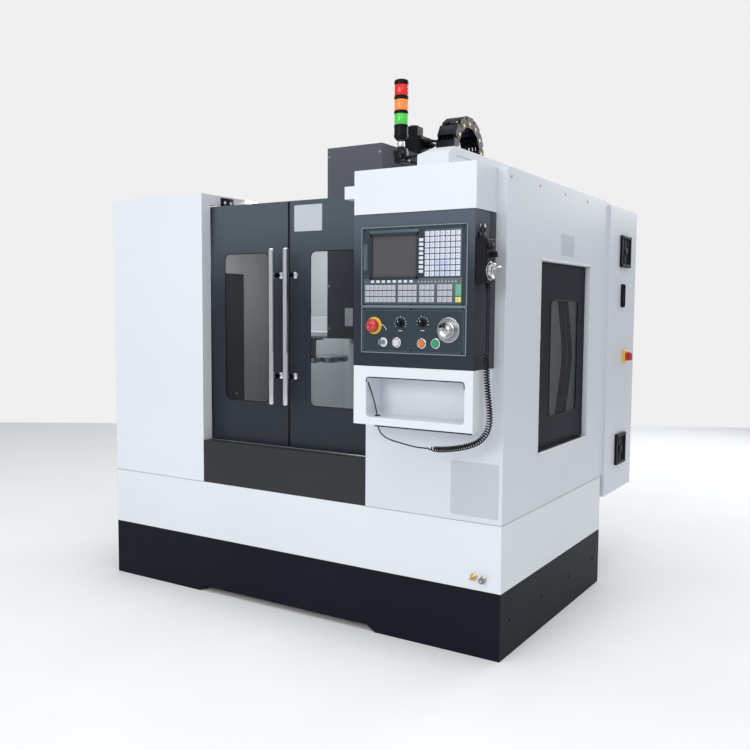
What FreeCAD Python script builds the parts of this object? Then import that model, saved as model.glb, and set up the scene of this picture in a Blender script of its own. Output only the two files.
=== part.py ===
"""Vertical machining centre: welded base, sheet-metal enclosure, column, saddle, table, head and controls.

Millimetres, +Z up, the operator's side towards -Y. While the pieces are made, X runs from the middle of
the enclosure, Y from its front face and Z from the floor. The last step moves the model so that its
origin is the middle of its footprint, on the floor.
"""
import FreeCAD, Part
import math
import os

V = FreeCAD.Vector

# ---- driving dimensions: enclosure ---------------------------------------------------------------
WIDTH = 2000.0           # outer width of the enclosure
DEPTH = 1147.0           # side panels, front to back
HEIGHT = 1772.0          # top of the enclosure
HALF = WIDTH / 2
SHEET = 3.0              # folded sheet
BASE_H = 250.0           # dark base
BASE_D = DEPTH - 20.0
BASE_SHEET = 5.0
APRON_TOP = 501.0        # white apron above the base, closed by the chip pan
PAN_OPENING = (410.0, 160.0)   # half width of the pan's opening round the bed, and its front edge
SILL = 688.0             # ledge below the doors
OPENING_LEFT = 562.0 - HALF    # door opening
OPENING_RIGHT = HALF - 581.0
RETURN_D = 55.0          # depth of the returns beside the doors
DOOR_HEAD = HEIGHT - 46.0      # top of the door opening
ROOF_FRONT_D = 376.0     # depth of the closed roof behind the front
ROOF_STRIP = 400.0       # width of the roof strip that carries the cable duct
REAR_LAP = 5.0           # the rear panels lap the column's pedestal
FLAT_GAP = 0.3           # gap between pieces that slide or turn past each other

# ---- base ----------------------------------------------------------------------------------------
COUPLINGS = ((HALF - 106.0, BASE_H + 49.0), (HALF - 68.0, BASE_H + 45.0))   # air and coolant
FOOT_W = 70.0
FOOT_T = 8.0
TOE_LEFT = 530.0 - HALF  # toe notch in the bottom front edge
TOE_RIGHT = HALF - 532.0
TOE_H = 24.0
TOE_SLOPE = 38.0
ANCHOR_R = 11.0
ANCHOR_INSET = 42.0

# ---- front doors ---------------------------------------------------------------------------------
MEET_X = (OPENING_LEFT + OPENING_RIGHT) / 2 - 6.5          # where the two doors meet
DOOR_W = (OPENING_RIGHT - OPENING_LEFT) / 2 + 11.5         # they lap behind the returns
DOOR_Y = 75.0            # front skin of the doors
DOOR_T = 38.0
DOOR_SKIN = 2.5
DOOR_TOP = DOOR_HEAD - 6.0
DOOR_JOINT_GAP = 1.0
WINDOW_OFFSET = 110.0    # from the meeting line to the window
WINDOW_W = DOOR_W - 193.0
WINDOW_BOTTOM = SILL + 180.0
WINDOW_TOP = DOOR_TOP - 210.0
WINDOW_R = 28.0
PANE_T = 6.0
PANE_LAP = 18.0
HANDLE_OFFSET = 37.0     # from the meeting line to the bar
HANDLE_R = 12.5
HANDLE_REACH = 70.0
HANDLE_BOTTOM = WINDOW_BOTTOM + 4.0
HANDLE_TOP = WINDOW_TOP + 11.0
STANDOFF_R = 8.0
STANDOFF_Z = (HANDLE_BOTTOM + 118.0, HANDLE_TOP - 109.0)

# ---- door rails ----------------------------------------------------------------------------------
TRACK_Y = (58.0, 124.0)
TRACK_H = 14.0
BEAM_Y = (125.0, 185.0)
BEAM_Z = (DOOR_TOP - 80.0, DOOR_TOP + 2.0)
BEAM_WALL = 4.0
RAIL_BRACKET_Y = (123.0, 199.0)
RAIL_BRACKET_TOP = HEIGHT - 8.0
RAIL_BRACKET_T = 6.0
RAIL_BRACKET_FOOT = 48.0

# ---- service door in the right side --------------------------------------------------------------
SIDE_Y = (DEPTH - 817.0, DEPTH - 242.0)
SIDE_Z = (SILL + 32.0, HEIGHT - 308.0)
SIDE_RECESS = 20.0
SIDE_DOOR_T = 18.0
SIDE_GAP = 3.0
SIDE_LIP = 14.0
SIDE_WINDOW_Y = (SIDE_Y[0] + 160.0, SIDE_Y[1] - 90.0)
SIDE_WINDOW_Z = (SIDE_Z[0] + 123.0, SIDE_Z[1] - 150.0)
SIDE_LEDGE_CUT = 52.0    # the bottom ledge stops this far from the hinge

# ---- electrical cabinet --------------------------------------------------------------------------
BED_REAR_X = 340.0       # half width of the bed behind the base, beside the cabinet
CABINET_X = (BED_REAR_X + 40.0, HALF - 10.5)
CABINET_Y = (DEPTH + SHEET, DEPTH + SHEET + 430.0)
CABINET_Z = (400.0, HEIGHT - 14.0)
CABINET_DOOR_T = 19.5
CABINET_DOOR_GAP = 0.5
CABINET_EDGE_GAP = 1.5   # between the door's free edge and the rear panel
FAN_SIDE = 150.0
FAN_T = 12.0
FAN_RIM = 15.0
FAN_Y = CABINET_Y[0] + 231.0
FAN_Z = (CABINET_Z[0] + 201.0, CABINET_Z[1] - 202.0)
GRIP_Y = CABINET_Y[0] + 204.0
GRIP_Z = FAN_Z[1] - 211.0
GRIP_SIZE = (34.0, 112.0)
GRIP_PROUD = 14.0
GRIP_RIM = 5.0
SWITCH_Y = CABINET_Y[0] + 271.0
SWITCH_Z = GRIP_Z - 294.0
SWITCH_PLATE = 68.0
SWITCH_PLATE_T = 12.0
SWITCH_KNOB_R = 22.0
SWITCH_KNOB_H = 28.0
SWITCH_SHAFT_R = 6.0

# ---- control station -----------------------------------------------------------------------------
BOX_X = (HALF - 530.0, HALF - 43.0)
BOX_D = 165.0
BOX_Z = (HEIGHT - 705.0, HEIGHT - 160.0)
HOOD_RIGHT = BOX_X[1] + 3.0
HOOD_GAP = 2.0
TAB_Z = (HEIGHT - 99.0, HEIGHT - 53.0)
TAB_W = 43.0
PLATE_T = 3.0


def on_box(x, z):
    """A place on the box's front, from its lower left corner."""
    return BOX_X[0] + x, BOX_Z[0] + z


def box_area(x0, x1, z0, z1):
    left, low = on_box(x0, z0)
    right, high = on_box(x1, z1)
    return left, right, low, high


UPPER_PLATE = box_area(36.0, 460.0, 217.0, 498.0)
LOWER_PLATE = box_area(37.0, 459.0, 51.0, 216.5)
BOX_OPENING = box_area(50.0, 446.0, 65.0, 485.0)
SCREEN = box_area(80.0, 263.0, 321.0, 466.0)
SCREEN_T = 20.0
SCREEN_LAP = 6.0
ESTOP = on_box(92.0, 148.0)
ESTOP_R = 24.0
ESTOP_STEM_R = 11.0
ESTOP_TRAVEL = 4.0
KNOB_1 = on_box(202.0, 158.0)
KNOB_2 = on_box(291.0, 160.0)
KNOB_R = 15.0
KNOB_SHAFT_R = 3.0
WHEEL = on_box(393.0, 137.0)
WHEEL_R = 31.0
WHEEL_SHAFT_R = 5.0
WHEEL_LIFT = 6.0         # gap between the plate and the wheel
CRANK_REACH = 36.0       # from the wheel's foot to the crank's end
KEY = on_box(131.0, 89.0)
KEY_R = 9.0
KEY_BARREL_R = 8.0
BUTTON_WHITE = on_box(186.0, 89.0)
BUTTON_ORANGE = on_box(288.0, 88.0)
BUTTON_GREEN = on_box(343.0, 89.0)
BUTTON_R = 13.0
BUTTON_TRAVEL = 3.0
SHAFT_GAP = 0.3          # round a stem or shaft in the panel

# ---- pocket below the control box ----------------------------------------------------------------
POCKET_X = (BOX_X[0] + 1.0, BOX_X[1] + 1.0)
POCKET_Z = (BOX_Z[0] - 215.0, BOX_Z[0])
NICHE_X = (POCKET_X[0] + 54.0, POCKET_X[1] - 33.0)
NICHE_Z = (POCKET_Z[0] + 28.0, POCKET_Z[1] - 41.0)
NICHE_R = 14.0
NICHE_BACK = -45.0
CORD_HOLE = (NICHE_X[0] + 21.0, -117.0)
CORD_HOLE_R = 8.0

# ---- hand pendant --------------------------------------------------------------------------------
PENDANT_T = 40.0
PENDANT_Y = (-160.0, -88.0)
PENDANT_Z = (BOX_Z[0] + 298.0, BOX_Z[0] + 448.0)
PENDANT_WHEEL = (-128.0, PENDANT_Z[0] + 40.0)
PENDANT_WHEEL_R = 29.0
PENDANT_KNOB_A = (-141.0, PENDANT_Z[0] + 122.0)
PENDANT_KNOB_B = (-107.0, PENDANT_Z[0] + 97.0)
PENDANT_KNOB_R = 11.0
PENDANT_SHAFT_R = 3.0
GLAND = (BOX_X[1] + 20.0, -104.0)
GLAND_L = 20.0

# ---- roof: cable duct and signal light -----------------------------------------------------------
DUCT_X = (HALF - 363.0, HALF - 232.0)
DUCT_TOP = HEIGHT + 97.0
DUCT_BEVEL_FRONT = (48.0, 27.0)
DUCT_BEVEL_LEFT = (38.0, 30.0)
DUCT_END = DEPTH + 113.0
LIGHT = (DUCT_X[0] - 105.0, 60.0)
LIGHT_R = 26.0
LIGHT_CORE_R = 8.0
LIGHT_BRACKET_Z = DUCT_TOP - 19.0
LIGHT_BASE = (LIGHT_BRACKET_Z + 72.0, LIGHT_BRACKET_Z + 120.0)
LENS_H = 41.0
LIGHT_LENSES = tuple((LIGHT_BASE[1] + up, LIGHT_BASE[1] + up + LENS_H) for up in (0.0, 53.0, 108.0))
LIGHT_TOP = LIGHT_LENSES[-1][1] + 15.0

# ---- machine: bed, saddle, table, column, head ---------------------------------------------------
COLUMN_Y = (DEPTH + SHEET, DEPTH + SHEET + 390.0)
SPINDLE_Y = COLUMN_Y[0] - 470.0
BED_X = 400.0            # half width inside the base
BED_Y = (170.0, COLUMN_Y[1])
BED_WAY_END = COLUMN_Y[0] - 52.0
BED_FOOT = 110.0
BED_TOP = APRON_TOP - 1.0
BED_FOOT_H = 40.0
BED_WALL = 35.0
PEDESTAL_X = 210.0
PEDESTAL_TOP = BED_TOP + 100.0
COLUMN_X = 200.0
COLUMN_TOP = PEDESTAL_TOP + 1375.0
COLUMN_WALL = 28.0
HATCH_Z = (760.0, 1180.0, 1600.0)
HATCH = (110.0, 260.0)   # half width and height of the rear hatches
SHELF_T = 15.0           # motor shelf on top of the column
WAY_IN = 170.0           # bed ways: inner and outer face
WAY_OUT = 230.0
WAY_H = 40.0
SADDLE_X = 430.0
SADDLE_HALF_D = 170.0
SADDLE_TOP = 640.0
SADDLE_BOTTOM = 505.0
CROSS_WAYS = ((-120.0, -70.0), (70.0, 120.0))   # ways for the table, from the spindle line
CROSS_WAY_H = 30.0
TABLE_X = 400.0
TABLE_HALF_D = 160.0
TABLE_TOP = 760.0
TABLE_T = 60.0
TSLOT_PITCH = 90.0
TSLOT_NECK = (14.0, 14.0)
TSLOT_FOOT = (24.0, 10.0)
Y_TRAVEL = 200.0
Z_TRAVEL = 200.0
COLUMN_WAY_IN = 110.0
COLUMN_WAY_OUT = 170.0
COLUMN_WAY_Z = (900.0, 1950.0)
COLUMN_WAY_D = 30.0
SCREW_R = 16.0
JOURNAL_R = 12.0
SCREW_FIT = 0.1          # radial running clearance of shafts and screws
Y_SCREW_Z = BED_TOP + 48.0
SCREW_REAR_Y = COLUMN_Y[0] - 70.0      # rear bearing of the Y screw
Z_SCREW_Y = COLUMN_Y[0] - 38.0
BEARING_D = 40.0
BEARING_HALF = 50.0
NUT_L = 100.0
MOTOR_HALF = 55.0
Y_MOTOR_L = 125.0
Z_MOTOR_H = 160.0
ENCODER_H = 56.0
HEAD_SLIDE_X = 185.0
HEAD_SLIDE_Z = (1150.0, 1650.0)
HEAD_ARM_X = 147.5
HEAD_ARM_Y = SPINDLE_Y - 120.0
HEAD_ARM_TOP = 1500.0
HEAD_WALL = 30.0
COVER_SHEET = 2.5
COVER_Y = (HEAD_ARM_Y - 20.0, COLUMN_Y[0] - 110.0)
COVER_Z = (1134.0, 2020.0)
QUILL_R = 90.0
QUILL_BOTTOM = 1110.0
SPINDLE_R = 50.0
NOSE_R = 62.0
NOSE_Z = (1060.0, 1104.0)
TAPER_MOUTH_R = 22.225
TAPER_DEPTH = 65.4
TAPER_RATE = 7.0 / 24.0
DRAWBAR_R = 9.0
SPINDLE_MOTOR_HALF = 90.0
SPINDLE_MOTOR_TOP = 1830.0

# ---- energy chain --------------------------------------------------------------------------------
CHAIN_X = (203.0, 303.0)
CHAIN_Y = COLUMN_Y[0] - 35.0
CHAIN_Z = 2057.0
CHAIN_R_OUT = 165.0
CHAIN_R_IN = 109.0
CHAIN_FRONT_END = 1660.0
CHAIN_REAR_END = 1540.0

# ---- tool magazine -------------------------------------------------------------------------------
DISC_R = 200.0
DISC_PITCH_R = 165.0
DISC_X = -365.0
DISC_Z = (1012.0, 1036.0)
TOOL_PLACES = 10
GRIP_NOTCH_R = 24.0
MAGAZINE_TRAVEL = 200.0
HUB_R = 40.0
HUB_BORE_R = 25.0
CARRIAGE_X = (-85.0, 40.0)    # from the disc's axis
CARRIAGE_Z = (1116.0, 1128.7)
ARM_PLATE_Z = (1140.0, 1160.0)
ARM_PLATE_LEFT = -480.0
ARM_BEAM_X = (-440.0, -230.0)
ARM_BEAM_H = 70.0
ARM_HOLE_GAP = 8.0       # round the arm where it passes the rear panel
ARM_FOOT_Y = (COLUMN_Y[0] + 35.0, COLUMN_Y[0] + 225.0)
ARM_FOOT_T = 12.0        # pad on the column
ARM_RIB_H = 11.0
ARM_HALF_D = 110.0

# ---- hoses and the pendant's cord ----------------------------------------------------------------
HOSE_R = 11.0
HOSE_PITCH = 34.0
HOSE_FOOT = (HALF - 88.0, SIDE_Y[1] - 24.0)
# Along X and Y from the foot of the hoses, and the share of the rise to the roof.
HOSE_ROUTE = ((-12, -19, 1.0), (-12, -19, 0.938), (-16, -31, 0.875), (-24, -33, 0.804), (-28, -19, 0.733),
              (-28, 3, 0.662), (-24, 23, 0.591), (-16, 33, 0.520), (-10, 33, 0.449), (-12, 21, 0.378),
              (-18, 5, 0.307), (-24, -7, 0.236), (-26, -9, 0.165), (-23, -3, 0.102), (-22, 0, 0.047),
              (-22, 0, 0.0))
CORD_R = 2.5
CURL_R = 12.0
LEAD_ROUTE = ((977, -104, 1345), (977, -104, 1306), (975.5, -102, 1265), (975, -100, 1225),
              (976, -100, 1186), (976, -100, 1150))
CURL_ROUTE = ((976, -100, 1150), (976, -100, 1078), (981, -101, 1005), (990, -100, 935), (992, -99, 880),
              (974, -99, 834), (936, -100, 804), (870, -101, 785), (802, -100, 774), (735, -100, 774))
TAIL_ROUTE = ((735, -100, 774), (700, -100, 774), (655, -101, 781), (608, -103, 789), (575, -106, 799),
              (553, -110, 816), (546, -114, 844), (546, -118, 880), (542, -126, 918), (537, -135, 952),
              (531, -144, 984), (524, -151, 1008))


# ---- shape helpers -------------------------------------------------------------------------------
def block(x0, x1, y0, y1, z0, z1):
    return Part.makeBox(x1 - x0, y1 - y0, z1 - z0, V(x0, y0, z0))


def rod(radius, x, y, z, along, length):
    return Part.makeCylinder(radius, length, V(x, y, z), V(*along))


def fuse(shapes):
    result = shapes[0].fuse(list(shapes[1:])) if len(shapes) > 1 else shapes[0]
    return result.removeSplitter()


def cut(shape, *tools):
    for tool in tools:
        shape = shape.cut(tool)
    return shape


def shell_box(x0, x1, y0, y1, z0, z1, wall, open_sides):
    """A sheet box. open_sides holds the letters of the sides that are left open: l r f b d u."""
    inner = block(x0 if "l" in open_sides else x0 + wall, x1 if "r" in open_sides else x1 - wall,
                  y0 if "f" in open_sides else y0 + wall, y1 if "b" in open_sides else y1 - wall,
                  z0 if "d" in open_sides else z0 + wall, z1 if "u" in open_sides else z1 - wall)
    return block(x0, x1, y0, y1, z0, z1).cut(inner)


def rounded_prism_y(x0, x1, z0, z1, radius, y0, y1):
    """A plate in the XZ plane with rounded corners, from y0 to y1."""
    plate = block(x0, x1, y0, y1, z0, z1)
    edges = [e for e in plate.Edges if abs(e.Vertexes[0].Y - e.Vertexes[1].Y) > (y1 - y0) / 2]
    return plate.makeFillet(radius, edges)


def rounded_prism_x(y0, y1, z0, z1, radius, x0, x1):
    """A plate in the YZ plane with rounded corners, from x0 to x1."""
    plate = block(x0, x1, y0, y1, z0, z1)
    edges = [e for e in plate.Edges if abs(e.Vertexes[0].X - e.Vertexes[1].X) > (x1 - x0) / 2]
    return plate.makeFillet(radius, edges)


def prism(points, along):
    """A straight prism on a closed outline of points."""
    corners = [V(*p) for p in points]
    return Part.Face(Part.makePolygon(corners + corners[:1])).extrude(V(*along))


def tube(name, route, radius):
    """A plain tube: straight runs joined by tangent arcs as large as the runs allow."""
    points = [V(*p) for p in route]
    edges, here, radii = [], points[0], []
    for before, corner, after in zip(points, points[1:], points[2:]):
        a, b = (before - corner), (after - corner)
        shorter = min(a.Length, b.Length)
        a.normalize()
        b.normalize()
        turn = math.pi - a.getAngle(b)
        reach = 0.45 * shorter
        arc_r = reach / math.tan(turn / 2)
        radii.append(arc_r)
        start, end = corner + a * reach, corner + b * reach
        inward = (a + b).normalize()
        middle = corner + inward * (arc_r / math.cos(turn / 2) - arc_r)
        edges.append(Part.LineSegment(here, start).toShape())
        edges.append(Part.Arc(start, middle, end).toShape())
        here = end
    edges.append(Part.LineSegment(here, points[-1]).toShape())
    path = Part.Wire(edges)
    ring = Part.Wire([Part.makeCircle(radius, points[0], points[1] - points[0])])
    solid = path.makePipeShell([ring], True, True)
    expected = math.pi * radius ** 2 * path.Length
    print(f"{name}: length {path.Length:.0f}, least radius {min(radii):.0f}, "
          f"volume {solid.Volume / expected:.4f} of section times length")
    return solid


# ---- base and enclosure --------------------------------------------------------------------------
def base_skirt():
    ring = shell_box(-HALF, HALF, 0, BASE_D, 0, BASE_H, BASE_SHEET, "du")
    foot = block(-HALF, HALF, 0, BASE_D, 0, FOOT_T).cut(
        block(-HALF + FOOT_W, HALF - FOOT_W, FOOT_W, BASE_D - FOOT_W, 0, FOOT_T))
    toe = prism([(TOE_LEFT, -1, 0), (TOE_RIGHT, -1, 0), (TOE_RIGHT - TOE_SLOPE, -1, TOE_H),
                 (TOE_LEFT + TOE_SLOPE, -1, TOE_H)], (0, FOOT_W + 2, 0))
    bed_way = block(-BED_X - 20, BED_X + 20, BASE_D - FOOT_W - 1, BASE_D + 1, -1, BASE_H + 1)
    anchors = [rod(ANCHOR_R, x, y, -1, (0, 0, 1), FOOT_T + 2)
               for x in (-HALF + ANCHOR_INSET, HALF - ANCHOR_INSET)
               for y in (ANCHOR_INSET, BASE_D - ANCHOR_INSET)]
    return cut(fuse([ring, foot]), toe, bed_way, *anchors)


def apron_panels():
    tray = shell_box(-HALF, HALF, 0, BASE_D, BASE_H, APRON_TOP, SHEET, "d")
    half, front = PAN_OPENING
    round_bed = block(-half, half, front, BASE_D + 1, BASE_H - 1, APRON_TOP + 1)
    return tray.cut(round_bed)


def lower_front_panel():
    skin = block(OPENING_LEFT, OPENING_RIGHT, 0, SHEET, APRON_TOP, SILL)
    ledge = block(OPENING_LEFT, OPENING_RIGHT, 0, TRACK_Y[0], SILL - SHEET, SILL)
    back = block(OPENING_LEFT, OPENING_RIGHT, TRACK_Y[0] - SHEET, TRACK_Y[0], SILL - 48, SILL)
    return fuse([skin, ledge, back])


def housing(side, inner_x, strip_w):
    """Front column, side panel and roof edge on one side. side is -1 for the left and 1 for the right."""
    def panel(x0, x1, y0, y1, z0, z1):
        low, high = sorted((side * x0, side * x1))
        return block(low, high, y0, y1, z0, z1)
    inner = abs(inner_x)
    pieces = [
        panel(inner, HALF, 0, SHEET, APRON_TOP, HEIGHT),
        panel(HALF - SHEET, HALF, 0, DEPTH, APRON_TOP, HEIGHT),
        panel(inner, inner + SHEET, 0, RETURN_D, APRON_TOP, DOOR_HEAD),
        panel(inner, inner + SHEET, 0, ROOF_FRONT_D, DOOR_HEAD, HEIGHT),
        panel(inner, HALF, 0, ROOF_FRONT_D, HEIGHT - SHEET, HEIGHT),
        panel(HALF - strip_w, HALF, ROOF_FRONT_D, DEPTH, HEIGHT - SHEET, HEIGHT),
    ]
    return fuse(pieces)


def left_housing():
    return housing(-1, OPENING_LEFT, 60.0)


def right_housing():
    shape = housing(1, OPENING_RIGHT, ROOF_STRIP)
    (y0, y1), (z0, z1) = SIDE_Y, SIDE_Z
    face = HALF - SIDE_RECESS
    inner = face - SIDE_DOOR_T - FLAT_GAP
    recess = shell_box(inner - SHEET, HALF, y0 - SHEET, y1 + SHEET, z0 - SHEET, z1 + SHEET, SHEET, "r")
    recess = recess.cut(block(inner - 2 * SHEET, inner + 1, y0 + SIDE_LIP, y1 - SIDE_LIP, z0 + SIDE_LIP,
                              z1 - SIDE_LIP))
    hole = block(inner - 2 * SHEET, HALF + 1, y0, y1, z0, z1)
    return fuse([shape.cut(hole), recess])


def rear_panels():
    panels = []
    for side in (-1, 1):
        near, far = sorted((side * (PEDESTAL_X - REAR_LAP), side * HALF))
        skin = block(near, far, DEPTH, DEPTH + SHEET, APRON_TOP, HEIGHT)
        flange = block(near, far, BASE_D - 25, DEPTH, APRON_TOP, APRON_TOP + SHEET)
        wall = block(-HALF + SHEET, HALF - SHEET, 0, DEPTH, APRON_TOP, APRON_TOP + SHEET)
        panels.append(fuse([skin, flange.common(wall)]))
    x0, low = ARM_BEAM_X[0], ARM_PLATE_Z[1]
    arm_hole = block(x0 - ARM_HOLE_GAP, -COLUMN_X, DEPTH - 1, DEPTH + SHEET + 1, low - ARM_HOLE_GAP,
                     low + ARM_BEAM_H + ARM_HOLE_GAP)
    panels[0] = panels[0].cut(arm_hole)
    return Part.makeCompound(panels)


def door_rails():
    inside = HALF - SHEET
    track = block(-inside, inside, TRACK_Y[0], TRACK_Y[1], SILL - TRACK_H, SILL)
    beam = block(-inside, inside, *BEAM_Y, *BEAM_Z).cut(
        block(-inside, inside, BEAM_Y[0] + BEAM_WALL, BEAM_Y[1] - BEAM_WALL, BEAM_Z[0] + BEAM_WALL,
              BEAM_Z[1] - BEAM_WALL))
    brackets = []
    for x, turn in ((OPENING_LEFT, 1), (OPENING_RIGHT, -1)):
        low, high = sorted((x, x + turn * RAIL_BRACKET_T))
        foot_low, foot_high = sorted((x, x + turn * RAIL_BRACKET_FOOT))
        plate = block(low, high, *RAIL_BRACKET_Y, BEAM_Z[1], RAIL_BRACKET_TOP)
        foot = block(foot_low, foot_high, *BEAM_Y, BEAM_Z[1], BEAM_Z[1] + RAIL_BRACKET_T)
        brackets.append(fuse([plate, foot]))
    return Part.makeCompound([track, beam] + brackets)


# ---- front doors ---------------------------------------------------------------------------------
def door_span(side):
    """Where a leaf runs in X, and its window."""
    edge = MEET_X + side * DOOR_JOINT_GAP / 2
    leaf = sorted((edge, edge + side * DOOR_W))
    window = sorted((MEET_X + side * WINDOW_OFFSET, MEET_X + side * (WINDOW_OFFSET + WINDOW_W)))
    return leaf, window


def front_door(side):
    (x0, x1), (w0, w1) = door_span(side)
    bottom = SILL + FLAT_GAP
    leaf = shell_box(x0, x1, DOOR_Y, DOOR_Y + DOOR_T, bottom, DOOR_TOP, DOOR_SKIN, "b")
    window = rounded_prism_y(w0, w1, WINDOW_BOTTOM, WINDOW_TOP, WINDOW_R, DOOR_Y - 1,
                             DOOR_Y + DOOR_SKIN + 1)
    hangers = []
    for x in (x0 + 50, x1 - 50):
        hangers.append(block(x - 25, x + 25, DOOR_Y + DOOR_SKIN, BEAM_Y[0] - FLAT_GAP, DOOR_TOP - 70,
                             DOOR_TOP - DOOR_SKIN))
    return fuse([leaf.cut(window)] + hangers)


def front_pane(side):
    _, (w0, w1) = door_span(side)
    return rounded_prism_y(w0 - PANE_LAP, w1 + PANE_LAP, WINDOW_BOTTOM - PANE_LAP, WINDOW_TOP + PANE_LAP,
                           WINDOW_R, DOOR_Y + DOOR_SKIN, DOOR_Y + DOOR_SKIN + PANE_T)


def front_handle(side):
    x = MEET_X + side * HANDLE_OFFSET
    y = DOOR_Y - HANDLE_REACH
    bar = rod(HANDLE_R, x, y, HANDLE_BOTTOM, (0, 0, 1), HANDLE_TOP - HANDLE_BOTTOM)
    posts = [rod(STANDOFF_R, x, y, z, (0, 1, 0), HANDLE_REACH) for z in STANDOFF_Z]
    return fuse([bar] + posts)


# ---- service door --------------------------------------------------------------------------------
def right_side_door():
    face = HALF - SIDE_RECESS
    y0, y1 = SIDE_Y[0] + SIDE_GAP, SIDE_Y[1] - SIDE_GAP
    z0, z1 = SIDE_Z[0] + SIDE_GAP, SIDE_Z[1] - SIDE_GAP
    leaf = shell_box(face - SIDE_DOOR_T, face, y0, y1, z0, z1, DOOR_SKIN, "l")
    window = rounded_prism_x(*SIDE_WINDOW_Y, *SIDE_WINDOW_Z, WINDOW_R, face - DOOR_SKIN - 1, face + 1)
    ledge = block(face - DOOR_SKIN, HALF - 1, y0, y1 - SIDE_LEDGE_CUT, z0, z0 + DOOR_SKIN)
    return fuse([leaf.cut(window), ledge])


def right_side_pane():
    face = HALF - SIDE_RECESS - DOOR_SKIN
    return rounded_prism_x(SIDE_WINDOW_Y[0] - PANE_LAP, SIDE_WINDOW_Y[1] + PANE_LAP,
                           SIDE_WINDOW_Z[0] - PANE_LAP, SIDE_WINDOW_Z[1] + PANE_LAP, WINDOW_R,
                           face - PANE_T, face)


# ---- electrical cabinet --------------------------------------------------------------------------
def cabinet_door_x():
    inner = CABINET_X[1] + CABINET_DOOR_GAP
    return inner, inner + CABINET_DOOR_T


def cabinet_shell():
    shape = shell_box(*CABINET_X, *CABINET_Y, *CABINET_Z, SHEET, "r")
    plate = block(CABINET_X[0] + SHEET, CABINET_X[0] + 2 * SHEET, CABINET_Y[0] + 30, CABINET_Y[1] - 30,
                  CABINET_Z[0] + 40, CABINET_Z[1] - 40)
    return fuse([shape, plate])


def cabinet_door():
    inner, outer = cabinet_door_x()
    tray = shell_box(inner, outer, CABINET_Y[0] + CABINET_EDGE_GAP, CABINET_Y[1], *CABINET_Z, SHEET, "l")
    reach = FAN_SIDE / 2 - FAN_RIM
    mouths = [block(inner, outer + 1, FAN_Y - reach, FAN_Y + reach, z - reach, z + reach) for z in FAN_Z]
    shaft = rod(SWITCH_SHAFT_R + SHAFT_GAP, inner, SWITCH_Y, SWITCH_Z, (1, 0, 0), CABINET_DOOR_T + 1)
    return cut(tray, *mouths, shaft)


def cabinet_fittings():
    outer = cabinet_door_x()[1]
    fans = []
    for z in FAN_Z:
        frame = block(outer, outer + FAN_T, FAN_Y - FAN_SIDE / 2, FAN_Y + FAN_SIDE / 2, z - FAN_SIDE / 2,
                      z + FAN_SIDE / 2)
        edges = [e for e in frame.Edges if e.BoundBox.XMin > outer + 1]
        fans.append(frame.makeChamfer(4.0, edges))
    half_y, half_z = GRIP_SIZE[0] / 2, GRIP_SIZE[1] / 2
    grip = rounded_prism_x(GRIP_Y - half_y, GRIP_Y + half_y, GRIP_Z - half_z, GRIP_Z + half_z, half_y - 1,
                           outer, outer + GRIP_PROUD)
    half_y, half_z = half_y - GRIP_RIM, half_z - GRIP_RIM
    hollow = rounded_prism_x(GRIP_Y - half_y, GRIP_Y + half_y, GRIP_Z - half_z, GRIP_Z + half_z, half_y - 1,
                             outer + GRIP_RIM, outer + GRIP_PROUD + 1)
    plate = block(outer, outer + SWITCH_PLATE_T, SWITCH_Y - SWITCH_PLATE / 2, SWITCH_Y + SWITCH_PLATE / 2,
                  SWITCH_Z - SWITCH_PLATE / 2, SWITCH_Z + SWITCH_PLATE / 2)
    plate = plate.cut(rod(SWITCH_SHAFT_R + SHAFT_GAP, outer - 1, SWITCH_Y, SWITCH_Z, (1, 0, 0),
                          SWITCH_PLATE_T + 2))
    return Part.makeCompound(fans + [grip.cut(hollow), plate])


def main_switch_knob():
    start = cabinet_door_x()[1] + SWITCH_PLATE_T + FLAT_GAP
    disc = rod(SWITCH_KNOB_R, start, SWITCH_Y, SWITCH_Z, (1, 0, 0), 8.0)
    wing = block(start, start + SWITCH_KNOB_H, SWITCH_Y - 6, SWITCH_Y + 6, SWITCH_Z - SWITCH_KNOB_R + 1,
                 SWITCH_Z + SWITCH_KNOB_R - 1)
    shaft = rod(SWITCH_SHAFT_R, start - SWITCH_PLATE_T - 10, SWITCH_Y, SWITCH_Z, (1, 0, 0),
                SWITCH_PLATE_T + 12)
    return fuse([disc, wing, shaft])


# ---- control station -----------------------------------------------------------------------------
def control_box():
    shape = shell_box(*BOX_X, -BOX_D, 0, *BOX_Z, SHEET, "b")
    x0, x1, z0, z1 = BOX_OPENING
    return shape.cut(block(x0, x1, -BOX_D - 1, -BOX_D + SHEET + 1, z0, z1))


def control_hood():
    shape = shell_box(BOX_X[0], HOOD_RIGHT, -BOX_D, 0, BOX_Z[1] + HOOD_GAP, HEIGHT, SHEET, "b")
    tab = shell_box(BOX_X[0] - TAB_W, BOX_X[0], -BOX_D, -BOX_D + 50, *TAB_Z, SHEET, "rb")
    return fuse([shape, tab])


def cnc_panel():
    x0, x1, z0, z1 = UPPER_PLATE
    plate = block(x0, x1, -BOX_D - PLATE_T, -BOX_D, z0, z1)
    return plate.cut(block(SCREEN[0], SCREEN[1], -BOX_D - PLATE_T - 1, -BOX_D + 1, SCREEN[2], SCREEN[3]))


def lcd_screen():
    return block(SCREEN[0] - SCREEN_LAP, SCREEN[1] + SCREEN_LAP, -BOX_D, -BOX_D + SCREEN_T,
                 SCREEN[2] - SCREEN_LAP, SCREEN[3] + SCREEN_LAP)


PANEL_HOLES = (
    (ESTOP, ESTOP_STEM_R), (KNOB_1, KNOB_SHAFT_R), (KNOB_2, KNOB_SHAFT_R), (WHEEL, WHEEL_SHAFT_R),
    (KEY, KEY_BARREL_R),
    (BUTTON_WHITE, BUTTON_R), (BUTTON_ORANGE, BUTTON_R), (BUTTON_GREEN, BUTTON_R),
)


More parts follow.
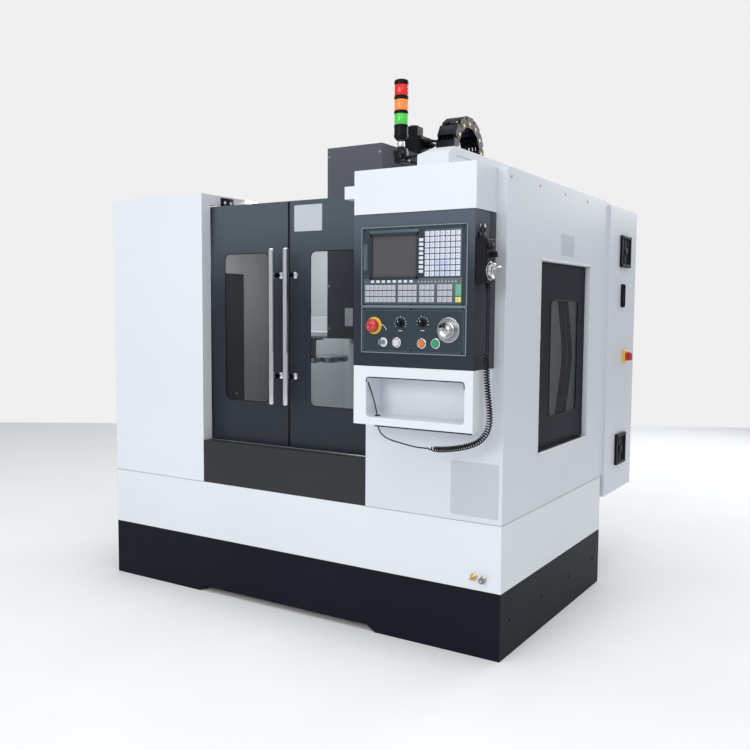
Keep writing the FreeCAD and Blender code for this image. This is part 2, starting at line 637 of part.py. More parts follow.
def operator_panel():
    x0, x1, z0, z1 = LOWER_PLATE
    plate = block(x0, x1, -BOX_D - PLATE_T, -BOX_D, z0, z1)
    holes = [rod(radius + SHAFT_GAP, x, -BOX_D - PLATE_T - 1, z, (0, 1, 0), PLATE_T + 2)
             for (x, z), radius in PANEL_HOLES]
    return cut(plate, *holes)


def panel_face():
    return -BOX_D - PLATE_T


def estop_button():
    x, z = ESTOP
    face = panel_face()
    stem = rod(ESTOP_STEM_R, x, face - 14, z, (0, 1, 0), 30)
    cap = rod(ESTOP_R, x, face - 28, z, (0, 1, 0), 16)
    rim = [e for e in cap.Edges if e.BoundBox.YMax < face - 27]
    return fuse([stem, cap.makeFillet(5.0, rim)])


def rotary_knob(place, height):
    x, z = place
    face = panel_face()
    skirt = rod(KNOB_R, x, face - FLAT_GAP - 5, z, (0, 1, 0), 5)
    grip = Part.makeCone(KNOB_R - 4.5, KNOB_R - 2.5, height - 5, V(x, face - FLAT_GAP - height, z),
                         V(0, 1, 0))
    shaft = rod(KNOB_SHAFT_R, x, face - FLAT_GAP - 1, z, (0, 1, 0), PLATE_T + 12)
    return fuse([skirt, grip, shaft])


def handwheel():
    x, z = WHEEL
    face = panel_face() - WHEEL_LIFT
    dial = rod(WHEEL_R, x, face - 14, z, (0, 1, 0), 14)
    rim = [e for e in dial.Edges if e.BoundBox.YMax < face - 13]
    crank = rod(6.0, x - 14, face - CRANK_REACH, z + 13, (0, 1, 0), 24)
    shaft = rod(WHEEL_SHAFT_R, x, face - 1, z, (0, 1, 0), PLATE_T + 18)
    return fuse([dial.makeFillet(3.0, rim), crank, shaft])


def key_switch():
    x, z = KEY
    face = panel_face()
    barrel = rod(KEY_BARREL_R, x, face - 7, z, (0, 1, 0), 22)
    head = rod(KEY_R, x, face - 7, z, (0, 1, 0), 7 - FLAT_GAP)
    blade = block(x - 1.2, x + 1.2, face - 14, face - 6, z - 4.5, z + 4.5)
    bow = rod(11.0, x - 1.2, face - 23, z, (1, 0, 0), 2.4)
    return fuse([barrel, head, blade, bow])


def push_button(place):
    x, z = place
    face = panel_face()
    cap = rod(BUTTON_R, x, face - 7, z, (0, 1, 0), 27)
    rim = [e for e in cap.Edges if e.BoundBox.YMax < face - 6]
    return cap.makeFillet(1.5, rim)


def pocket_box():
    shell = shell_box(*POCKET_X, -BOX_D, 0, *POCKET_Z, SHEET, "b")
    mouth = rounded_prism_y(*NICHE_X, *NICHE_Z, NICHE_R, -BOX_D - 1, NICHE_BACK)
    liner = rounded_prism_y(NICHE_X[0] - SHEET, NICHE_X[1] + SHEET, NICHE_Z[0] - SHEET, NICHE_Z[1] + SHEET,
                            NICHE_R + SHEET, -BOX_D + 1, NICHE_BACK + SHEET)
    hole = rod(CORD_HOLE_R, *CORD_HOLE, POCKET_Z[0] - 1, (0, 0, 1), NICHE_Z[0] - POCKET_Z[0] + 2)
    return cut(fuse([shell, liner]), mouth, hole)


# ---- hand pendant --------------------------------------------------------------------------------
def pendant_face():
    return BOX_X[1] + PENDANT_T


def pendant_body():
    face = pendant_face()
    body = block(BOX_X[1], face, *PENDANT_Y, *PENDANT_Z)
    body = body.makeFillet(6.0, [e for e in body.Edges if e.BoundBox.XMin > face - 1])
    holes = [rod(PENDANT_SHAFT_R + SHAFT_GAP, face - 20, *place, (1, 0, 0), 21)
             for place in (PENDANT_WHEEL, PENDANT_KNOB_A, PENDANT_KNOB_B)]
    gland = Part.makeCone(4.0, 8.0, GLAND_L, V(*GLAND, PENDANT_Z[0] - GLAND_L), V(0, 0, 1))
    return cut(fuse([body, gland]), *holes)


def pendant_wheel():
    face = pendant_face() + FLAT_GAP
    y, z = PENDANT_WHEEL
    wheel = rod(PENDANT_WHEEL_R, face, y, z, (1, 0, 0), 15)
    rim = [e for e in wheel.Edges if e.BoundBox.XMin > face + 14]
    crank = rod(5.0, face + 14, y + 8, z + 14, (1, 0, 0), 24)
    shaft = rod(PENDANT_SHAFT_R, face - 15, y, z, (1, 0, 0), 16)
    return fuse([wheel.makeFillet(3.0, rim), crank, shaft])


def pendant_knob(place):
    face = pendant_face() + FLAT_GAP
    y, z = place
    knob = rod(PENDANT_KNOB_R, face, y, z, (1, 0, 0), 14)
    shaft = rod(PENDANT_SHAFT_R, face - 15, y, z, (1, 0, 0), 16)
    return fuse([knob, shaft])


# ---- roof ----------------------------------------------------------------------------------------
def duct_form(inset):
    """The duct as a solid bar, drawn in from its outside by inset: a bevel in front and one on the left."""
    x0, x1 = DUCT_X
    back, up = DUCT_BEVEL_FRONT
    side, drop = DUCT_BEVEL_LEFT
    low, top = CABINET_Z[1], DUCT_TOP - inset
    section = prism([(x0 + inset, 0, low), (x1 - inset, 0, low), (x1 - inset, 0, top), (x0 + side, 0, top),
                     (x0 + inset, 0, top - drop)], (0, DUCT_END, 0))
    length = prism([(x0, inset, low), (x0, inset, top - up), (x0, back, top), (x0, DUCT_END - inset, top),
                    (x0, DUCT_END - inset, low)], (x1 - x0, 0, 0))
    return section.common(length)


def cable_duct():
    above_roof = block(*DUCT_X, 0, DEPTH + SHEET, CABINET_Z[1], HEIGHT)
    return cut(duct_form(0), duct_form(SHEET), above_roof)


def light_stand():
    x, y = LIGHT
    arm = block(x - 14, DUCT_X[0] + DUCT_BEVEL_LEFT[0], y - 14, y + 14, LIGHT_BRACKET_Z - 8,
                LIGHT_BRACKET_Z)
    foot = block(DUCT_X[0] - 6, DUCT_X[0], y - 14, y + 14, LIGHT_BRACKET_Z - 42, LIGHT_BRACKET_Z)
    pole = rod(11.0, x, y, LIGHT_BRACKET_Z - 8, (0, 0, 1), LIGHT_BASE[0] - LIGHT_BRACKET_Z + 8)
    base = rod(LIGHT_R, x, y, LIGHT_BASE[0], (0, 0, 1), LIGHT_BASE[1] - LIGHT_BASE[0])
    core = rod(LIGHT_CORE_R, x, y, LIGHT_BASE[0], (0, 0, 1), LIGHT_TOP - LIGHT_BASE[0])
    pieces = [arm, foot, pole, base, core]
    tops = [lens[0] for lens in LIGHT_LENSES[1:]] + [LIGHT_TOP]
    for (_, low), high in zip(LIGHT_LENSES, tops):
        pieces.append(rod(LIGHT_R, x, y, low, (0, 0, 1), high - low))
    return fuse(pieces).cut(duct_form(0))


def light_lenses():
    x, y = LIGHT
    rings = [rod(LIGHT_R, x, y, low, (0, 0, 1), high - low).cut(
        rod(LIGHT_CORE_R, x, y, low, (0, 0, 1), high - low)) for low, high in LIGHT_LENSES]
    return Part.makeCompound(rings)


def quick_couplings():
    pieces = []
    for x, z in COUPLINGS:
        flange = rod(14.0, x, -6, z, (0, 1, 0), 6)
        nipple = rod(6.0, x, -30, z, (0, 1, 0), 25)
        pieces.append(fuse([flange, nipple]))
    return Part.makeCompound(pieces)


# ---- machine castings ----------------------------------------------------------------------------
def bed_casting():
    front, rear = BED_Y
    waist, middle = BASE_D, (BED_Y[0] + BASE_D) / 2
    wall, rib = BED_WALL, BED_WALL / 2     # a rib runs along the middle and one crosses at the waist
    body = fuse([block(-BED_X, BED_X, front, waist, BED_FOOT_H, BED_TOP),
                 block(-BED_REAR_X, BED_REAR_X, waist, rear, BED_FOOT_H, BED_TOP)])
    chambers, feet = [], []
    for half, y0, y1 in ((BED_X, front + wall, waist - wall), (BED_REAR_X, waist, rear - wall)):
        for side in (-1, 1):
            x0, x1 = sorted((side * rib, side * (half - wall)))
            chambers.append(block(x0, x1, y0, y1, BED_FOOT_H, BED_TOP - wall))
    size = BED_FOOT / 2
    for half, y in ((BED_X, front + size), (BED_X, middle), (BED_REAR_X, rear - size)):
        for x in (size - half, half - size):
            feet.append(block(x - size, x + size, y - size, y + size, 0, BED_FOOT_H + 30))
    ways = [block(*sorted((s * WAY_IN, s * WAY_OUT)), front + 10, BED_WAY_END, BED_TOP, BED_TOP + WAY_H)
            for s in (-1, 1)]
    pedestal = block(-PEDESTAL_X, PEDESTAL_X, COLUMN_Y[0], rear, BED_TOP, PEDESTAL_TOP)
    bearings = [block(-BEARING_HALF, BEARING_HALF, y, y + BEARING_D, BED_TOP, PEDESTAL_TOP)
                for y in (front, SCREW_REAR_Y)]
    bore = rod(JOURNAL_R + SCREW_FIT, 0, front - 1, Y_SCREW_Z, (0, 1, 0),
               SCREW_REAR_Y + BEARING_D - front + 2)
    return cut(fuse([cut(body, *chambers)] + feet + ways + [pedestal] + bearings), bore)


def saddle_casting():
    y0, y1 = SPINDLE_Y - SADDLE_HALF_D, SPINDLE_Y + SADDLE_HALF_D
    body = block(-SADDLE_X, SADDLE_X, y0, y1, SADDLE_BOTTOM, SADDLE_TOP)
    body = body.cut(block(-SADDLE_X, -WAY_OUT - 40, y0, y1, SADDLE_BOTTOM, SADDLE_BOTTOM + 60))
    body = body.cut(block(WAY_OUT + 40, SADDLE_X, y0, y1, SADDLE_BOTTOM, SADDLE_BOTTOM + 60))
    cross = [block(-SADDLE_X, SADDLE_X, SPINDLE_Y + a, SPINDLE_Y + b, SADDLE_TOP, SADDLE_TOP + CROSS_WAY_H)
             for a, b in CROSS_WAYS]
    channels = [block(*sorted((s * (WAY_IN - FLAT_GAP), s * (WAY_OUT + FLAT_GAP))), y0, y1, SADDLE_BOTTOM,
                      BED_TOP + WAY_H + FLAT_GAP) for s in (-1, 1)]
    nut = rod(SCREW_R + SCREW_FIT, 0, y0, Y_SCREW_Z, (0, 1, 0), y1 - y0)
    relief = [rod(SCREW_R + 6, 0, a, Y_SCREW_Z, (0, 1, 0), b - a)
              for a, b in ((y0, SPINDLE_Y - NUT_L / 2), (SPINDLE_Y + NUT_L / 2, y1))]
    return cut(fuse([body] + cross), *channels, nut, *relief)


def work_table():
    y0, y1 = SPINDLE_Y - TABLE_HALF_D, SPINDLE_Y + TABLE_HALF_D
    plate = block(-TABLE_X, TABLE_X, y0, y1, TABLE_TOP - TABLE_T, TABLE_TOP)
    under = block(-TABLE_X, TABLE_X, y0 + 10, y1 - 10, SADDLE_TOP + 5, TABLE_TOP - TABLE_T)
    channels = [block(-TABLE_X, TABLE_X, SPINDLE_Y + a - FLAT_GAP, SPINDLE_Y + b + FLAT_GAP, SADDLE_TOP,
                      SADDLE_TOP + CROSS_WAY_H + FLAT_GAP) for a, b in CROSS_WAYS]
    slots = []
    neck_w, neck_h = TSLOT_NECK
    foot_w, foot_h = TSLOT_FOOT
    neck = TABLE_TOP - neck_h
    for k in (-1, 0, 1):
        y = SPINDLE_Y + k * TSLOT_PITCH
        slots.append(block(-TABLE_X, TABLE_X, y - neck_w / 2, y + neck_w / 2, neck, TABLE_TOP))
        slots.append(block(-TABLE_X, TABLE_X, y - foot_w / 2, y + foot_w / 2, neck - foot_h, neck))
    return cut(fuse([plate, under]), *channels, *slots)


def column_casting():
    y0, y1 = COLUMN_Y
    body = block(-COLUMN_X, COLUMN_X, y0, y1, PEDESTAL_TOP, COLUMN_TOP)
    inside = block(-COLUMN_X + COLUMN_WALL, COLUMN_X - COLUMN_WALL, y0 + COLUMN_WALL, y1 - COLUMN_WALL,
                   PEDESTAL_TOP, COLUMN_TOP - COLUMN_WALL)
    half, high = HATCH
    hatches = [block(-half, half, y1 - COLUMN_WALL - 1, y1 + 1, z, z + high) for z in HATCH_Z]
    ways = [block(*sorted((s * COLUMN_WAY_IN, s * COLUMN_WAY_OUT)), y0 - COLUMN_WAY_D, y0, *COLUMN_WAY_Z)
            for s in (-1, 1)]
    lower, upper = [block(-BEARING_HALF, BEARING_HALF, y0 - 70, y0, z, z + BEARING_D)
                    for z in (COLUMN_WAY_Z[0], COLUMN_TOP - BEARING_D)]
    shelf = block(-70, 70, y0 - 96, y0 + 50, COLUMN_TOP, COLUMN_TOP + SHELF_T)
    chain_foot = block(COLUMN_X, CHAIN_X[1], *chain_leg_y(1), CHAIN_REAR_END - 40, CHAIN_REAR_END)
    magazine_pad = block(-COLUMN_X - ARM_FOOT_T, -COLUMN_X, *ARM_FOOT_Y, ARM_PLATE_Z[1] - 10,
                         ARM_PLATE_Z[1] + ARM_BEAM_H + 10)
    bore = rod(JOURNAL_R + SCREW_FIT, 0, Z_SCREW_Y, COLUMN_WAY_Z[0] - 1, (0, 0, 1),
               COLUMN_TOP + SHELF_T + 2 - COLUMN_WAY_Z[0])
    body = cut(body, inside, *hatches)
    return cut(fuse([body] + ways + [lower, upper, shelf, chain_foot, magazine_pad]), bore)


def head_casting():
    y0, y1 = COLUMN_Y[0] - 65, COLUMN_Y[0] - 1
    slide = block(-HEAD_SLIDE_X, HEAD_SLIDE_X, y0, y1, *HEAD_SLIDE_Z)
    arm = block(-HEAD_ARM_X, HEAD_ARM_X, HEAD_ARM_Y, y0, HEAD_SLIDE_Z[0], HEAD_ARM_TOP)
    half = HEAD_ARM_X - HEAD_WALL
    inside = block(-half, half, SPINDLE_Y + QUILL_R + 20, y0 - HEAD_WALL, HEAD_SLIDE_Z[0] + HEAD_WALL,
                   HEAD_ARM_TOP)
    quill = rod(QUILL_R, 0, SPINDLE_Y, QUILL_BOTTOM, (0, 0, 1), HEAD_SLIDE_Z[0] - QUILL_BOTTOM)
    bore = rod(SPINDLE_R + SCREW_FIT, 0, SPINDLE_Y, QUILL_BOTTOM, (0, 0, 1), HEAD_ARM_TOP - QUILL_BOTTOM)
    channels = [block(*sorted((s * (COLUMN_WAY_IN - FLAT_GAP), s * (COLUMN_WAY_OUT + FLAT_GAP))),
                      COLUMN_Y[0] - COLUMN_WAY_D - FLAT_GAP, COLUMN_Y[0], *HEAD_SLIDE_Z) for s in (-1, 1)]
    z0, z1 = HEAD_SLIDE_Z
    middle = (z0 + z1) / 2
    nut = rod(SCREW_R + SCREW_FIT, 0, Z_SCREW_Y, z0, (0, 0, 1), z1 - z0)
    relief = [rod(SCREW_R + 6, 0, Z_SCREW_Y, a, (0, 0, 1), b - a)
              for a, b in ((z0, middle - NUT_L / 2), (middle + NUT_L / 2, z1))]
    return cut(fuse([slide, cut(arm, inside), quill]), bore, *channels, nut, *relief)


def head_cover():
    x = HEAD_ARM_X + COVER_SHEET
    shape = shell_box(-x, x, *COVER_Y, *COVER_Z, COVER_SHEET, "b")
    rear = block(-x, x, COVER_Y[1] - COVER_SHEET, COVER_Y[1], HEAD_ARM_TOP, COVER_Z[1])
    nose = rod(QUILL_R + 1, 0, SPINDLE_Y, COVER_Z[0] - 1, (0, 0, 1), COVER_SHEET + 2)
    y0, y1 = chain_leg_y(-1)
    chain_foot = block(x, CHAIN_X[1], y0, y1, CHAIN_FRONT_END - 12, CHAIN_FRONT_END)
    chain_web = block(x, CHAIN_X[1] - 40, y0 + 22, y1 - 22, CHAIN_FRONT_END - 60, CHAIN_FRONT_END - 12)
    return fuse([shape, rear, chain_foot, chain_web]).cut(nose)


def spindle():
    shaft = rod(SPINDLE_R, 0, SPINDLE_Y, NOSE_Z[1], (0, 0, 1), HEAD_ARM_TOP - 4 - NOSE_Z[1])
    nose = rod(NOSE_R, 0, SPINDLE_Y, NOSE_Z[0], (0, 0, 1), NOSE_Z[1] - NOSE_Z[0])
    narrow = TAPER_MOUTH_R - TAPER_DEPTH * TAPER_RATE / 2
    taper = Part.makeCone(TAPER_MOUTH_R, narrow, TAPER_DEPTH, V(0, SPINDLE_Y, NOSE_Z[0]), V(0, 0, 1))
    drawbar = rod(DRAWBAR_R, 0, SPINDLE_Y, NOSE_Z[0], (0, 0, 1), HEAD_ARM_TOP - 4 - NOSE_Z[0])
    keys = [block(s * 36 - 8, s * 36 + 8, SPINDLE_Y - 8, SPINDLE_Y + 8, NOSE_Z[0] - 8, NOSE_Z[0])
            for s in (-1, 1)]
    return cut(fuse([shaft, nose] + keys), taper, drawbar)


def spindle_motor():
    half = SPINDLE_MOTOR_HALF
    body = block(-half, half, SPINDLE_Y - half, SPINDLE_Y + half, HEAD_ARM_TOP, SPINDLE_MOTOR_TOP)
    body = body.makeChamfer(18.0, [e for e in body.Edges if e.BoundBox.ZLength > 100])
    fan = rod(half - 8, 0, SPINDLE_Y, SPINDLE_MOTOR_TOP, (0, 0, 1), 45)
    return fuse([body, fan])


def ball_screw(x, y, z, along, length, low_journal, high_journal):
    step = V(*along)
    start = V(x, y, z)
    body = Part.makeCylinder(SCREW_R, length, start, step)
    low = Part.makeCylinder(JOURNAL_R, low_journal, start - step * low_journal, step)
    high = Part.makeCylinder(JOURNAL_R, high_journal, start + step * length, step)
    return fuse([low, body, high])


def y_screw():
    start, end = BED_Y[0] + BEARING_D + 1, SCREW_REAR_Y - 1
    return ball_screw(0, start, Y_SCREW_Z, (0, 1, 0), end - start, BEARING_D, BEARING_D)


def z_screw():
    start, end = COLUMN_WAY_Z[0] + BEARING_D + 1, COLUMN_TOP - BEARING_D - 1
    return ball_screw(0, Z_SCREW_Y, start, (0, 0, 1), end - start, BEARING_D, BEARING_D + SHELF_T - 1)


def axis_motors():
    half = MOTOR_HALF
    y_end = BED_Y[0]
    y_motor = block(-half, half, y_end - Y_MOTOR_L, y_end, Y_SCREW_Z - half + 10, Y_SCREW_Z + half - 10)
    low, top = COLUMN_TOP + SHELF_T, COLUMN_TOP + SHELF_T + Z_MOTOR_H
    body = block(-half, half, Z_SCREW_Y - half, Z_SCREW_Y + half, low, top)
    body = body.makeChamfer(12.0, [e for e in body.Edges if e.BoundBox.ZLength > 100])
    encoder = block(-48, 24, Z_SCREW_Y - 36, Z_SCREW_Y + 36, top, top + ENCODER_H)
    outer = [e for e in encoder.Edges if e.BoundBox.ZMin > top + 1 or e.BoundBox.ZLength > 30]
    encoder = encoder.makeFillet(8.0, outer)
    plug = rod(13.0, half - 2, Z_SCREW_Y - 10, low + 132, (1, 0, 0), 16)
    return Part.makeCompound([y_motor, fuse([body, encoder, plug])])


def chain_leg_y(side):
    return sorted((CHAIN_Y + side * CHAIN_R_IN, CHAIN_Y + side * CHAIN_R_OUT))


def cable_chain():
    x0, x1 = CHAIN_X
    ring = rod(CHAIN_R_OUT, x0, CHAIN_Y, CHAIN_Z, (1, 0, 0), x1 - x0).cut(
        rod(CHAIN_R_IN, x0, CHAIN_Y, CHAIN_Z, (1, 0, 0), x1 - x0))
    top = ring.common(block(x0, x1, CHAIN_Y - 200, CHAIN_Y + 200, CHAIN_Z, CHAIN_Z + 200))
    front = block(x0, x1, *chain_leg_y(-1), CHAIN_FRONT_END, CHAIN_Z)
    rear = block(x0, x1, *chain_leg_y(1), CHAIN_REAR_END, CHAIN_Z)
    return fuse([top, front, rear])


# ---- tool magazine -------------------------------------------------------------------------------
def magazine_arm():
    low, high = ARM_PLATE_Z
    right = -HEAD_ARM_X - COVER_SHEET - 15
    plate = block(ARM_PLATE_LEFT, right, SPINDLE_Y - ARM_HALF_D, SPINDLE_Y + ARM_HALF_D, low, high)
    ribs = [block(ARM_PLATE_LEFT, right, y - 10, y + 10, low - ARM_RIB_H, low)
            for y in (SPINDLE_Y - 50, SPINDLE_Y + 50)]
    beam = block(*ARM_BEAM_X, SPINDLE_Y + 60, ARM_FOOT_Y[1], high, high + ARM_BEAM_H)
    root = block(ARM_BEAM_X[0], -COLUMN_X - ARM_FOOT_T, *ARM_FOOT_Y, high, high + ARM_BEAM_H)
    return fuse([plate, beam, root] + ribs)


def magazine_carriage():
    left, right = DISC_X + CARRIAGE_X[0], DISC_X + CARRIAGE_X[1]
    plate = block(left, right, SPINDLE_Y - 75, SPINDLE_Y + 75, *CARRIAGE_Z)
    foot = DISC_Z[1] + FLAT_GAP
    hub = rod(HUB_R, DISC_X, SPINDLE_Y, foot, (0, 0, 1), CARRIAGE_Z[0] - foot)
    pin = rod(HUB_BORE_R - SCREW_FIT, DISC_X, SPINDLE_Y, DISC_Z[0], (0, 0, 1), CARRIAGE_Z[0] - DISC_Z[0])
    keeper = rod(HUB_R - 10, DISC_X, SPINDLE_Y, DISC_Z[0] - 8 - FLAT_GAP, (0, 0, 1), 8)
    neck = rod(HUB_BORE_R - SCREW_FIT, DISC_X, SPINDLE_Y, DISC_Z[0] - FLAT_GAP - 1, (0, 0, 1), FLAT_GAP + 2)
    return fuse([plate, hub, pin, neck, keeper])


def magazine_disc():
    disc = rod(DISC_R, DISC_X, SPINDLE_Y, DISC_Z[0], (0, 0, 1), DISC_Z[1] - DISC_Z[0])
    tools = [rod(HUB_BORE_R, DISC_X, SPINDLE_Y, DISC_Z[0] - 1, (0, 0, 1), DISC_Z[1] - DISC_Z[0] + 2)]
    for k in range(TOOL_PLACES):
        angle = 2 * math.pi * k / TOOL_PLACES
        x = DISC_X + DISC_PITCH_R * math.cos(angle)
        y = SPINDLE_Y + DISC_PITCH_R * math.sin(angle)
        tools.append(rod(GRIP_NOTCH_R, x, y, DISC_Z[0] - 1, (0, 0, 1), DISC_Z[1] - DISC_Z[0] + 2))
        mouth = block(DISC_PITCH_R, DISC_R + 5, 4 - GRIP_NOTCH_R, GRIP_NOTCH_R - 4, DISC_Z[0] - 1,
                      DISC_Z[1] + 1)
        mouth.rotate(V(0, 0, 0), V(0, 0, 1), math.degrees(angle))
        mouth.translate(V(DISC_X, SPINDLE_Y, 0))
        tools.append(mouth)
    return cut(disc, *tools)


# ---- hoses and cord ------------------------------------------------------------------------------
def inner_hoses():
    hoses = []
    for k in range(3):
        route = [(HOSE_FOOT[0] + x - (k % 2) * 14, HOSE_FOOT[1] + y + (k - 1) * HOSE_PITCH,
                  APRON_TOP + share * (HEIGHT - SHEET - APRON_TOP)) for x, y, share in HOSE_ROUTE]
        hoses.append(tube(f"hose {k + 1}", route, HOSE_R))
    return Part.makeCompound(hoses)


NODES = {
    "base_skirt": base_skirt,
    "apron_panels": apron_panels,
    "lower_front_panel": lower_front_panel,
    "left_housing": left_housing,
    "right_housing": right_housing,
    "rear_panels": rear_panels,
    "door_rails": door_rails,
    "left_door": lambda: front_door(-1),
    "left_door_pane": lambda: front_pane(-1),
    "left_door_handle": lambda: front_handle(-1),
    "right_door": lambda: front_door(1),
    "right_door_pane": lambda: front_pane(1),
    "right_door_handle": lambda: front_handle(1),
    "right_side_door": right_side_door,
    "right_side_pane": right_side_pane,
    "cabinet_shell": cabinet_shell,
    "cabinet_door": cabinet_door,
    "cabinet_fittings": cabinet_fittings,
    "main_switch_knob": main_switch_knob,
    "control_box": control_box,
    "control_hood": control_hood,
    "cnc_panel": cnc_panel,
    "lcd_screen": lcd_screen,
    "operator_panel": operator_panel,
    "estop_button": estop_button,
    "feed_knob": lambda: rotary_knob(KNOB_1, 20.0),
    "speed_knob": lambda: rotary_knob(KNOB_2, 20.0),
    "handwheel": handwheel,
    "key_switch": key_switch,
    "white_button": lambda: push_button(BUTTON_WHITE),
    "orange_button": lambda: push_button(BUTTON_ORANGE),
    "green_button": lambda: push_button(BUTTON_GREEN),
    "pocket_box": pocket_box,
    "pendant_body": pendant_body,
    "pendant_wheel": pendant_wheel,
    "pendant_axis_knob": lambda: pendant_knob(PENDANT_KNOB_A),
    "pendant_step_knob": lambda: pendant_knob(PENDANT_KNOB_B),
    "cord_lead": lambda: tube("cord lead", LEAD_ROUTE, CORD_R),
    "cord_curl": lambda: tube("cord curl", CURL_ROUTE, CURL_R),
    "cord_tail": lambda: tube("cord tail", TAIL_ROUTE, CORD_R),
    "cable_duct": cable_duct,
    "light_stand": light_stand,
    "light_lenses": light_lenses,
    "quick_couplings": quick_couplings,
    "bed_casting": bed_casting,
    "saddle_casting": saddle_casting,
    "work_table": work_table,
    "column_casting": column_casting,
    "head_casting": head_casting,
    "head_cover": head_cover,
    "spindle": spindle,
    "spindle_motor": spindle_motor,
    "y_screw": y_screw,
    "z_screw": z_screw,
    "axis_motors": axis_motors,
    "cable_chain": cable_chain,
    "magazine_arm": magazine_arm,
    "magazine_carriage": magazine_carriage,
    "magazine_disc": magazine_disc,
    "inner_hoses": inner_hoses,
}


def middle_of_footprint():
    """The middle of the machine's box in X and Y, from the pieces that reach furthest each way."""
    knob = cabinet_door_x()[1] + SWITCH_PLATE_T + FLAT_GAP + SWITCH_KNOB_H
    crank = panel_face() - WHEEL_LIFT - CRANK_REACH
    return V((knob - HALF) / 2, (crank + CABINET_Y[1]) / 2, 0)


def main():
    os.makedirs("parts", exist_ok=True)
    middle = middle_of_footprint()
    print("origin in the building frame:", middle)
    for name, make in NODES.items():
        shape = make()
        shape.translate(-middle)
        if not shape.isValid() or any(not s.isValid() for s in shape.Solids):
            print("not valid:", name)
        shape.exportStep(f"parts/{name}.step")
        print(f"{name}: {len(shape.Solids)} solid(s), {shape.Volume / 1e6:.2f} litres")


main()
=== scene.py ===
# %% [markdown]
# # Vertical machining centre: the looks
#
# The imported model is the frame. It holds the enclosure, the machine inside it and every joint at real
# size, in metres. This lesson gives each surface its finish and adds the pieces that are too fine for the
# frame: keys, scales, seals, chain links, louvres and the curly cord. Nothing of the frame is moved.

# %% Load the frame
import math

import bmesh
import bpy
from mathutils import Matrix, Vector


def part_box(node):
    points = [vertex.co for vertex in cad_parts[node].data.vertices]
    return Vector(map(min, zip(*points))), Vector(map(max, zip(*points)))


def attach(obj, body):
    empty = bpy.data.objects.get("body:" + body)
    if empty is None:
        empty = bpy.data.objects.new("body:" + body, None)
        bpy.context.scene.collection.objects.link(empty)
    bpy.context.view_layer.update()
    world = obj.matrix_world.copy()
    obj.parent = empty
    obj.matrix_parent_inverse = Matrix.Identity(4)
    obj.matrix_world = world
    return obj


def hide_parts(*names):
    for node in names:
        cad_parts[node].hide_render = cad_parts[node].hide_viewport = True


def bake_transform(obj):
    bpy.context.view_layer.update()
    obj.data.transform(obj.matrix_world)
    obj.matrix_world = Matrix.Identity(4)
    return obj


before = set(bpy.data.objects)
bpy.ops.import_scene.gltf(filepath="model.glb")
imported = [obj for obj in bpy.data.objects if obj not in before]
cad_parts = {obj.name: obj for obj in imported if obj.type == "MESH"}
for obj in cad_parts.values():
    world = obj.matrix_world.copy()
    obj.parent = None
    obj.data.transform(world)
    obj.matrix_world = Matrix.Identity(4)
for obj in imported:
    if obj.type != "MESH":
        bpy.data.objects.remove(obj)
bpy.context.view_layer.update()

# %% [markdown]
# A machine builder measures from the enclosure: sideways from its middle, back from its front face and up
# from the floor, in millimetres. `at` turns such a place into metres in the frame, so every detail below
# can be read like a workshop drawing. The two datums come from the frame's own boxes.

# %% Places on the machine
MM = 0.001
HOUSING_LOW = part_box("left_housing")[0]
HOUSING_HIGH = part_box("right_housing")[1]
MIDDLE_X = (HOUSING_LOW.x + HOUSING_HIGH.x) / 2
FRONT_Y = HOUSING_LOW.y


def at(x, y, z):
    return Vector((MIDDLE_X + x * MM, FRONT_Y + y * MM, z * MM))


def inside(node):
    """A node's box as two places in millimetres, measured like at()."""
    low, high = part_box(node)
    return [((p.x - MIDDLE_X) / MM, (p.y - FRONT_Y) / MM, p.z / MM) for p in (low, high)]


# %% [markdown]
# ## Camera
#
# The camera stands at eye height to the right of the operator's side, a little over four metres away, and
# looks slightly down. A short tele lens keeps the uprights nearly parallel.

# %% Camera
CAMERA_PLACE = at(2231, -2814, 1277)
CAMERA_TURN = (32.18, 4.42, 0.39)   # degrees: to the left, down, and the small roll
turn, dip, roll = (math.radians(a) for a in CAMERA_TURN)
camera_data = bpy.data.cameras.new("camera")
camera_data.lens = 41.44
camera_data.sensor_width = 36.0
camera = bpy.data.objects.new("camera", camera_data)
bpy.context.scene.collection.objects.link(camera)
camera.matrix_world = (Matrix.Translation(CAMERA_PLACE) @ Matrix.Rotation(turn, 4, "Z")
                       @ Matrix.Rotation(math.pi / 2 - dip, 4, "X") @ Matrix.Rotation(roll, 4, "Z"))
bpy.context.scene.camera = camera

# %% [markdown]
# ## The pendant's cord
#
# One cord leaves the gland below the hand pendant, hangs straight, winds into a tight curl that sags under
# the control station, and ends as a thin tail that climbs through the pocket's floor into its side wall.
# The route is a list of given points, and a spline smooths it. The curl is a helix around that
# smooth line: its radius grows from nothing at each end, so the straight parts run into it.

# %% Cord: the route
LEAD = ((977, -104, 1345), (977, -104, 1306), (975.5, -102, 1265), (975, -100, 1225), (976, -100, 1186),
        (976, -100, 1150))
CURL = ((976, -100, 1078), (981, -101, 1005), (990, -100, 935), (992, -99, 880), (974, -99, 834),
        (936, -100, 804), (870, -101, 785), (802, -100, 774), (735, -100, 774))
TAIL = ((700, -100, 774), (655, -101, 781), (608, -103, 789), (575, -106, 799), (553, -110, 816),
        (546, -114, 844), (546, -118, 880), (542, -126, 918), (537, -135, 952), (531, -144, 984),
        (524, -151, 1008))
CORD_R = 2.5 * MM
CURL_R = 9.3 * MM            # centre of the wire in the curl
CURL_PITCH = 9.5 * MM
LOOSE_PITCH = 32 * MM        # at the very ends of the curl
LOOSE_SPAN = 52 * MM
POINTS_PER_TURN = 14


